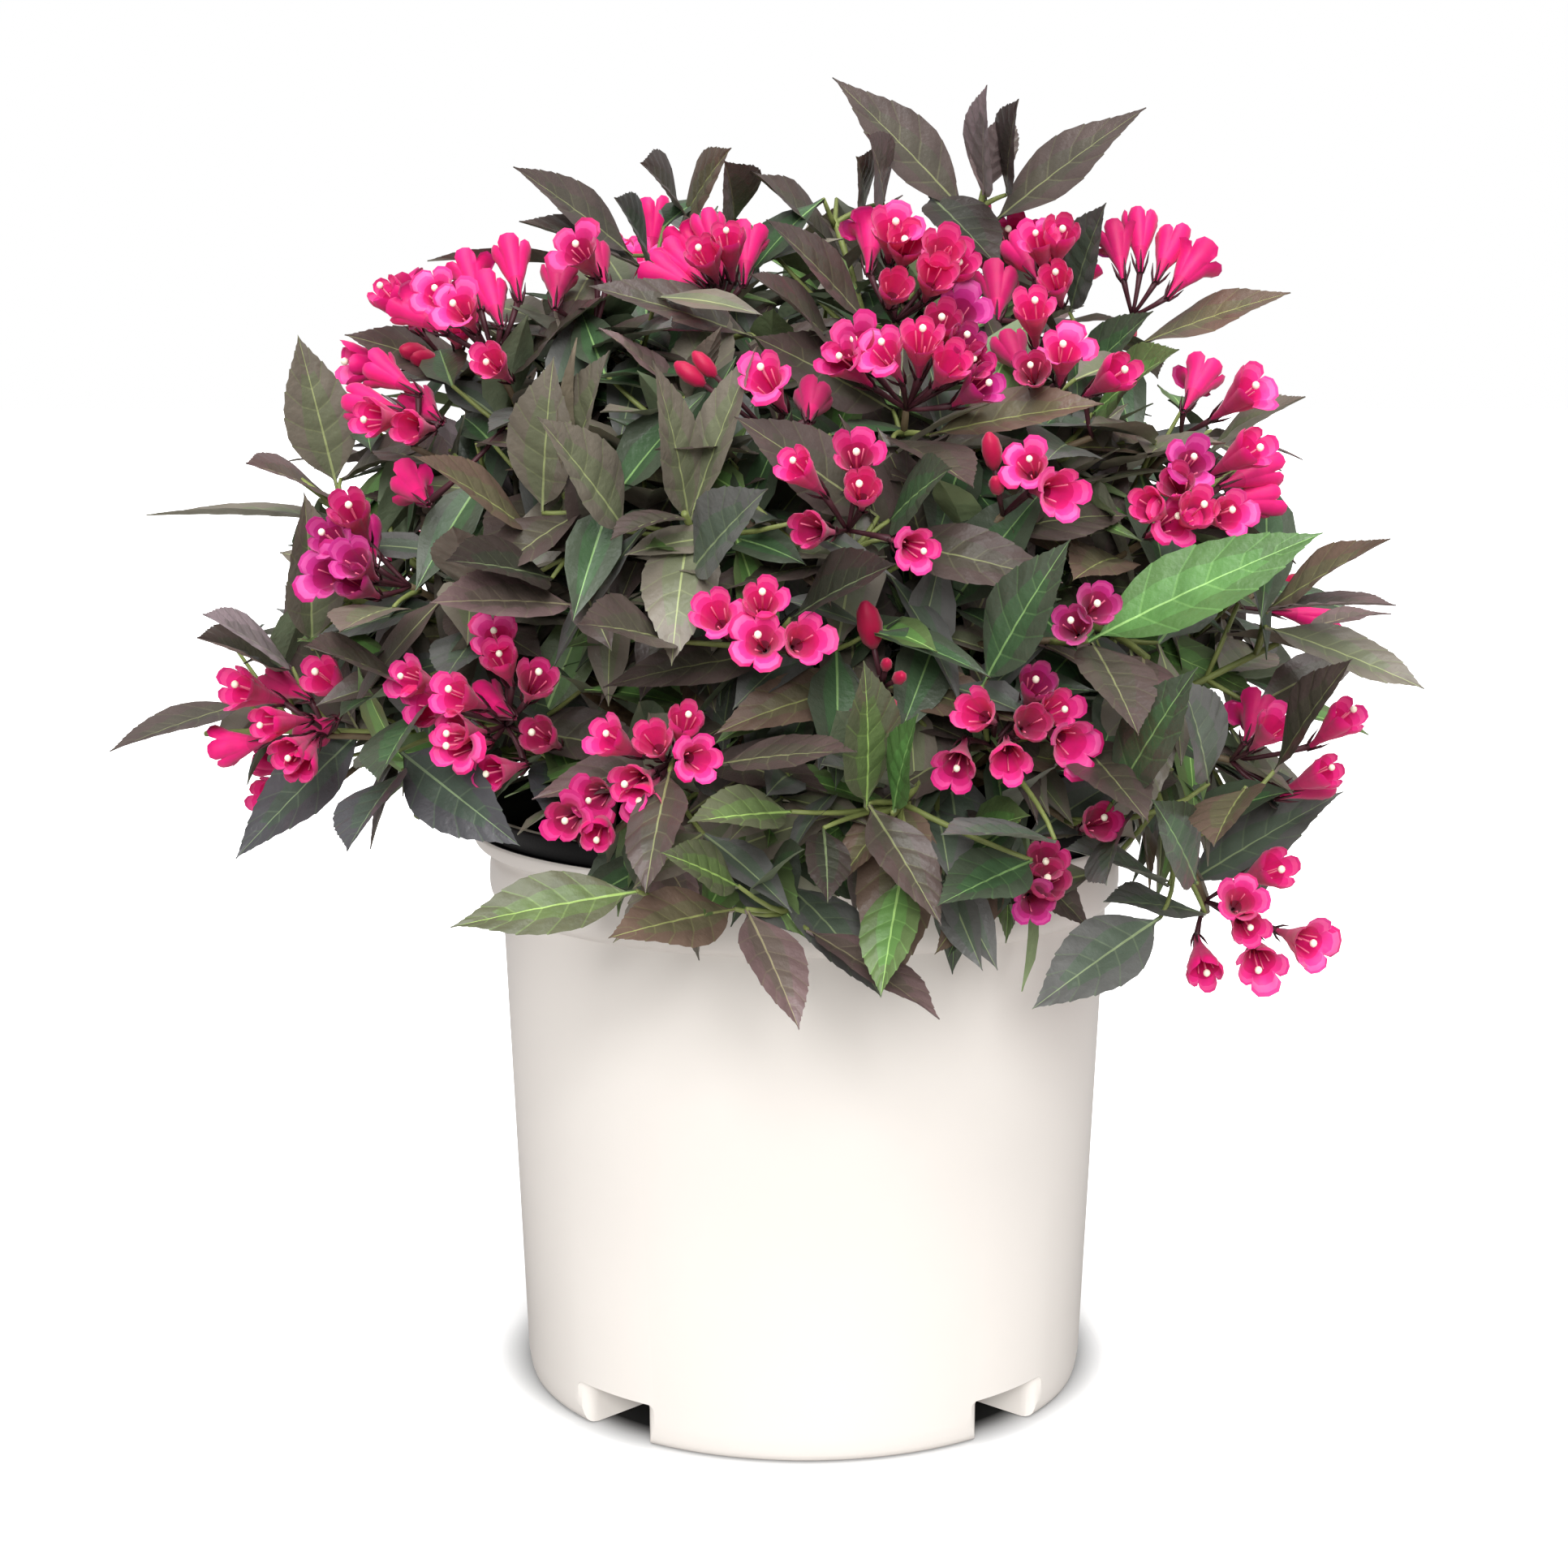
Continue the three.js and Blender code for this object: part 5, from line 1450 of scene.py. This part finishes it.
def stump_profile():
    foot = SOIL_TOP + SOIL_CROWN + GAP
    top = foot + STUMP_HEIGHT
    corners = [
        (FLARE_RADIUS, foot), (STUMP_RADIUS + 1.5, foot + 9), (STUMP_RADIUS, foot + 18),
        (STUMP_RADIUS, top - 12), (STUMP_RADIUS - 6, top - 3),
    ]
    profile = [(0, foot)]
    for (r1, z1), (r2, z2) in zip(corners, corners[1:]):
        profile += [(r1 + (r2 - r1) * i / 6, z1 + (z2 - z1) * i / 6) for i in range(6)]
    profile += [(STUMP_RADIUS - 6, top - 3), (STUMP_RADIUS - 13, top - 1), (0, top)]
    return profile


stump = solid("stump", *lathe(stump_profile(), STUMP_SIDES))
for vertex in stump.data.vertices:
    out = Vector((vertex.co.x, vertex.co.y, 0))
    if out.length > 0.001:
        point = vertex.co / METRE
        ridge = noise.noise(Vector((point.x * 0.25, point.y * 0.25, point.z * 0.05)))
        fine_ridge = noise.noise(Vector((point.x * 0.8, point.y * 0.8, point.z * 0.12)))
        vertex.co += out.normalized() * ((0.9 * ridge + 0.5 * fine_ridge - 0.7) * METRE)
stump.data.materials.append(bark)
for polygon in stump.data.polygons:
    polygon.use_smooth = True
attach(stump, "root")
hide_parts("stem_base")


# Pot

def rounded(profile, steps):
    """A smooth line through a profile's points."""
    points = [np.array(p, float) for p in profile]
    made = []
    for i in range(len(points) - 1):
        before = points[max(i - 1, 0)]
        a, b = points[i], points[i + 1]
        after = points[min(i + 2, len(points) - 1)]
        for s in range(steps):
            t = s / steps
            made.append(tuple(0.5 * (2 * a + (b - before) * t + (2 * before - 5 * a + 4 * b - after) * t ** 2
                                     + (3 * a - before - 3 * b + after) * t ** 3)))
    made.append(tuple(points[-1]))
    return made


def outer_profile():
    foot = rounded([(FOOT_RADIUS, 0), (FOOT_RADIUS + 0.7 * (BODY_FOOT_RADIUS - FOOT_RADIUS), 1.6),
                    (BODY_FOOT_RADIUS, FOOT_ROUNDING + 3)], 4)
    upper = rounded([
        (BODY_TOP_RADIUS, BODY_TOP), (BAND_RADIUS - 1.1, BODY_TOP + 2.6),
        (BAND_RADIUS + 0.7, BAND_MIDDLE - 2), (BAND_RADIUS + 0.5, BAND_MIDDLE + 7),
        (THROAT_RADIUS + 0.1, POT_HEIGHT - 10.5),
        (THROAT_RADIUS + 0.9, POT_HEIGHT - 8.6), (LIP_RADIUS - 4, POT_HEIGHT - 7.4),
        (LIP_RADIUS - 1.5, POT_HEIGHT - 5.6), (LIP_RADIUS, POT_HEIGHT - LIP_THICKNESS),
        (LIP_RADIUS - 0.5, POT_HEIGHT),
    ], 4)
    return [(0, 0), *foot, *upper]


def inner_profile():
    return [
        (THROAT_RADIUS + 2.4, POT_HEIGHT - 2), (THROAT_RADIUS - 0.2, POT_HEIGHT - 5),
        (THROAT_RADIUS - 0.6, POT_HEIGHT - 8), (THROAT_RADIUS - WALL, POT_HEIGHT - 9),
        (BAND_RADIUS - WALL, BAND_MIDDLE), (BAND_RADIUS - 0.6 - WALL, BODY_TOP + 4),
        (BODY_TOP_RADIUS - WALL, BODY_TOP - 2), (BODY_FOOT_RADIUS - WALL, FOOT_ROUNDING + 6),
        (FOOT_RADIUS - WALL, FLOOR), (0, FLOOR),
    ]


def notch_cutters(margin, rounding):
    """The four hollows at the foot, grown by a margin, with sides that tuck in and rounded upper corners."""
    half = NOTCH_WIDTH / 2 + margin
    top = NOTCH_HEIGHT + margin
    surface = math.sqrt(BODY_FOOT_RADIUS ** 2 - half ** 2)
    sections = [(BODY_FOOT_RADIUS + 12, 1)]
    for t in (0, 0.04, 0.14, 0.3, 0.55, 1):
        sections.append((surface - NOTCH_TUCK * t, 1 - NOTCH_TUCK * math.sqrt(1 - (1 - t) ** 2) / half))
    sections.append((BODY_FOOT_RADIUS - NOTCH_DEPTH - margin, 0.62))
    opening = [(-half, -6), (half, -6)]
    for centre, start in ((half - rounding, 0), (-half + rounding, 90)):
        for i in range(6):
            angle = math.radians(start + 18 * i)
            opening.append((centre + rounding * math.cos(angle), top - rounding + rounding * math.sin(angle)))
    corners = len(opening)
    last = corners * (len(sections) - 1)
    faces = [tuple(range(corners)), tuple(range(last + corners - 1, last - 1, -1))]
    faces += [(a, d, c, b) for a, b, c, d in grid_faces(len(sections), corners, True)]
    cutters = []
    for turn in NOTCH_TURNS:
        angle = math.radians(turn)
        points = []
        for depth, narrow in sections:
            low = 0.9 if depth == sections[-1][0] else 1
            for x, z in opening:
                across, along, high = Vector((x * narrow, -depth, z if z < 0 else z * low))
                points.append((across * math.cos(angle) - along * math.sin(angle),
                               across * math.sin(angle) + along * math.cos(angle), high))
        cutters.append(solid("notch", points, faces))
    return cutters


def drain_cutters():
    """A round drain through the roof of each hollow."""
    low, high = NOTCH_HEIGHT - 6, NOTCH_HEIGHT + 8
    profile = [(0, low), (DRAIN_SIZE / 2, low), (DRAIN_SIZE / 2, high), (0, high)]
    cutters = []
    for turn in NOTCH_TURNS:
        drain = solid("drain", *lathe(profile, DRAIN_SIDES))
        drain.location = heading(turn, 0) * ((BODY_FOOT_RADIUS - NOTCH_DEPTH / 2) * METRE)
        cutters.append(drain)
    return cutters


def cut(body, cutters):
    """Takes cutters away from a body, and removes them."""
    for cutter in cutters:
        modifier = body.modifiers.new("cut", "BOOLEAN")
        modifier.operation = "DIFFERENCE"
        modifier.solver = "EXACT"
        modifier.object = cutter
        bpy.context.view_layer.update()
        made = bpy.data.meshes.new_from_object(body.evaluated_get(bpy.context.evaluated_depsgraph_get()))
        body.modifiers.clear()
        body.data = made
        bpy.data.objects.remove(cutter)


pot = solid("pot_shell", *lathe([*outer_profile(), (0, POT_HEIGHT)], POT_SIDES))
cut(pot, notch_cutters(0, NOTCH_ROUNDING))
mouth = [(0, POT_HEIGHT + 5), (LIP_RADIUS - 2, POT_HEIGHT + 5), (LIP_RADIUS - 2, POT_HEIGHT - 0.4)]
inside = solid("pot_inside", *lathe([*mouth, *inner_profile()][::-1], POT_SIDES))
cut(inside, notch_cutters(WALL, NOTCH_ROUNDING + WALL))
cut(pot, [inside])
cut(pot, drain_cutters())
white = material("pot_white", linear(230, 225, 219), 0.36, mottle=0.012, mottle_scale=12, bump=0.04,
                 bump_scale=1500)
black = material("pot_black", linear(13, 13, 15), 0.3, mottle=0.1, mottle_scale=40, bump=0.08, bump_scale=900)
pot.data.materials.clear()
pot.data.materials.append(white)
pot.data.materials.append(black)
for polygon in pot.data.polygons:
    centre = polygon.center / METRE
    radius = math.hypot(centre.x, centre.y)
    outwards = polygon.normal.x * centre.x + polygon.normal.y * centre.y > 0
    in_mouth = centre.z > NOTCH_HEIGHT + 4 and radius < LIP_RADIUS - 1 and not outwards
    polygon.material_index = int(in_mouth)
    polygon.use_smooth = True
pot.data.set_sharp_from_angle(angle=math.radians(32))
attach(pot, "root")
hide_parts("pot")


def liner_profile():
    """The black liner's lip, which stands on the white one, as a loop up the outside and down the inside."""
    top = POT_HEIGHT + LINER_RISE
    return [
        (THROAT_RADIUS - 2.1, SOIL_TOP), (THROAT_RADIUS - 2.2, POT_HEIGHT - 9),
        (THROAT_RADIUS - 0.8, POT_HEIGHT - 5), (THROAT_RADIUS + 1.7, POT_HEIGHT - 1.7),
        (LIP_RADIUS - 2.8, POT_HEIGHT - 0.2), (LIP_RADIUS - 2.3, POT_HEIGHT + 0.6),
        (LIP_RADIUS - 2.6, POT_HEIGHT + 3), (LIP_RADIUS - 2.2, POT_HEIGHT + 3.8),
        (LIP_RADIUS - 2.2, top - 1.8), (LIP_RADIUS - 2.6, top - 0.6), (LIP_RADIUS - 3.5, top),
        (LIP_RADIUS - 4.5, top - 0.3), (LIP_RADIUS - 5.2, top - 1.4), (LIP_RADIUS - 6.1, POT_HEIGHT + 4),
        (THROAT_RADIUS + 0.8, POT_HEIGHT - 0.5), (THROAT_RADIUS - 1.6, POT_HEIGHT - 4),
        (THROAT_RADIUS - 2.8, POT_HEIGHT - 9), (THROAT_RADIUS - 2.8, SOIL_TOP),
    ]


liner = Shapes()
loop = liner_profile()
points = [point for radius, height in loop for point in ring(radius, height, POT_SIDES)]
faces = np.array(grid_faces(len(loop) + 1, POT_SIDES, True)) % len(points)
liner.add(points, [int(face[0] // POT_SIDES in LINER_HIGHLIGHT_RINGS) for face in faces], faces)
jet = material("liner_black", linear(9, 9, 11), 0.42, mottle=0.1, mottle_scale=40, bump=0.08,
               bump_scale=900, specular=0.12)
# The liner's pale top edge is a painted highlight
liner_highlight = material("liner_painted_highlight", linear(146, 138, 128), 0.5, mottle=0.12, mottle_scale=60, bump=0.1,
                 bump_scale=900)
piece = liner.piece("liner_lip", [jet, liner_highlight])
piece.data.set_sharp_from_angle(angle=math.radians(40))
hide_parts("pot")


# Potting mix

def soil_height(radius):
    return SOIL_TOP + SOIL_CROWN * (1 - (radius / SOIL_EDGE) ** 2)


soil = Shapes()
points = []
for row in range(SOIL_ROWS):
    radius = SOIL_EDGE * (row + 1) / SOIL_ROWS
    for x, y, height in ring(radius, soil_height(radius) - 1.5, SOIL_SIDES):
        uneven = 1.6 * noise.noise(Vector((x * 0.09, y * 0.09, 0)))
        uneven += 0.8 * noise.noise(Vector((x, y, 3)) * 0.3)
        points.append((x, y, height + uneven * (1 - (radius / SOIL_EDGE) ** 8)))
points += ring(BODY_TOP_RADIUS - WALL - 1, BODY_TOP - 3, SOIL_SIDES)
points += ring(BODY_FOOT_RADIUS - WALL - 2, SOIL_FOOT, SOIL_SIDES)
fans = end_faces(len(points), 0, len(points) + 1, len(points) - SOIL_SIDES, SOIL_SIDES)
points += [(0, 0, soil_height(0) - 1.5), (0, 0, SOIL_FOOT)]
sides = grid_faces(SOIL_ROWS + 2, SOIL_SIDES, True)
soil.add(points, 0, np.array(sides)[:, ::-1], np.array(fans)[:, ::-1])

chips = lots(SEED + 7)
for _ in range(SOIL_CHIPS):
    radius = SOIL_EDGE * math.sqrt(chips()) * 0.96
    angle = math.tau * chips()
    length = 3 + 7 * chips()
    way = heading(360 * chips(), 24 * (chips() - 0.5))
    across, third = crossways(way)
    centre = Vector((radius * math.sin(angle), -radius * math.cos(angle),
                     soil_height(radius) - 0.4 + 1.4 * chips()))
    wide, thick = length * (0.25 + 0.3 * chips()), 0.8 + 0.8 * chips()
    corners = [centre + way * (a * length / 2) + across * (b * wide / 2) + third * (c * thick / 2)
               for a in (-1, 1) for b in (-1, 1) for c in (-1, 1)]
    box = [(2, 3, 1, 0), (5, 7, 6, 4), (1, 5, 4, 0), (6, 7, 3, 2), (4, 6, 2, 0), (3, 7, 5, 1)]
    soil.add(corners, 1 + int(3 * chips()), box)
soil_materials = [
    material("mix_dark", linear(40, 30, 24), 0.95, mottle=0.4, mottle_scale=300, bump=1, bump_scale=500),
    material("mix_brown", linear(74, 54, 40), 0.9, mottle=0.3, mottle_scale=200, bump=0.6),
    material("mix_chestnut", linear(92, 64, 44), 0.9, mottle=0.3, mottle_scale=200, bump=0.6),
    material("mix_black", linear(34, 28, 24), 0.9, mottle=0.3, mottle_scale=200, bump=0.6),
]
piece = soil.piece("potting_mix_surface", soil_materials)
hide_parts("potting_mix")


# Floor, light and camera

def mix_by_view(tree, unseen, seen, end):
    """Gives an end one shader as the camera sees it, and another to all other rays."""
    rays = tree.nodes.new("ShaderNodeLightPath")
    mix = tree.nodes.new("ShaderNodeMixShader")
    tree.links.new(rays.outputs["Is Camera Ray"], mix.inputs["Fac"])
    tree.links.new(unseen, mix.inputs[1])
    tree.links.new(seen, mix.inputs[2])
    tree.links.new(mix.outputs["Shader"], end)


def floor_material():
    """Painted shadow makes it dark round the pot's foot; painted light makes it pale and glowing away from
    it.
    """
    made = bpy.data.materials.new("floor_pale")
    made.use_nodes = True
    nodes, links = made.node_tree.nodes, made.node_tree.links
    shader = set_sockets(nodes["Principled BSDF"], {
        "Roughness": 0.9, "Specular IOR Level": 0, "Emission Color": WHITE,
    })
    place = nodes.new("ShaderNodeTexCoord")
    away = set_sockets(nodes.new("ShaderNodeVectorMath"), {1: FLOOR_MIDDLE})
    away.operation = "DISTANCE"
    links.new(place.outputs["Object"], away.inputs[0])
    # Base Color takes the painted shadow, Emission Strength the painted glow
    for values, socket in ((PAINTED_SHADOW_RANGE, "Base Color"), (PAINTED_GLOW_RANGE, "Emission Strength")):
        ranged = set_sockets(nodes.new("ShaderNodeMapRange"), values)
        links.new(away.outputs["Value"], ranged.inputs["Value"])
        links.new(ranged.outputs["Result"], shader.inputs[socket])
    dim = set_sockets(nodes.new("ShaderNodeBsdfDiffuse"), {"Color": FLOOR_UNSEEN})
    mix_by_view(made.node_tree, dim.outputs["BSDF"], shader.outputs["BSDF"],
                nodes["Material Output"].inputs["Surface"])
    return made


floor_mesh = bpy.data.meshes.new("floor")
floor_mesh.from_pydata([(x * FLOOR_SIZE, y * FLOOR_SIZE, FLOOR_HEIGHT)
                        for x, y in ((-1, -1), (1, -1), (1, 1), (-1, 1))], [], [(0, 1, 2, 3)])
floor_mesh.materials.append(floor_material())
floor = placed("floor", floor_mesh)

world = bpy.data.worlds.new("studio")
bpy.context.scene.world = world
world.use_nodes = True
nodes, links = world.node_tree.nodes, world.node_tree.links
backdrop = set_sockets(nodes["Background"], {"Color": WHITE, "Strength": 1})
sky = nodes.new("ShaderNodeBackground")
direction = nodes.new("ShaderNodeTexCoord")
slope = set_sockets(nodes.new("ShaderNodeVectorMath"), {1: SKY_SLOPE})
slope.operation = "DOT_PRODUCT"
level = set_sockets(nodes.new("ShaderNodeMath"), {1: SKY_LEVEL})
level.operation = "ADD"
links.new(direction.outputs["Generated"], slope.inputs[0])
links.new(slope.outputs["Value"], level.inputs[0])
links.new(level.outputs["Value"], sky.inputs["Strength"])
mix_by_view(world.node_tree, sky.outputs["Background"], backdrop.outputs["Background"],
            nodes["World Output"].inputs["Surface"])


def soft_sun(name, turn, lift, strength, spread):
    """Light from a turn and lift, soft as a large panel's."""
    light = bpy.data.lights.new(name, "SUN")
    light.energy = strength
    light.angle = math.radians(spread)
    placed(name, light).rotation_euler = (-heading(turn, lift)).to_track_quat("-Z", "Y").to_euler()


soft_sun("top", 4, 70, 2.6, 50)
soft_sun("front", -2, 24, 2.65, 24)

camera_data = bpy.data.cameras.new("camera")
camera_data.lens = CAMERA_LENS
camera_data.sensor_width = CAMERA_SENSOR
camera = placed("camera", camera_data)
camera.location = CAMERA_PLACE
camera.rotation_euler = (math.radians(90 - CAMERA_DOWN), 0, 0)
bpy.context.scene.camera = camera
bpy.context.scene.view_settings.view_transform = "Standard"
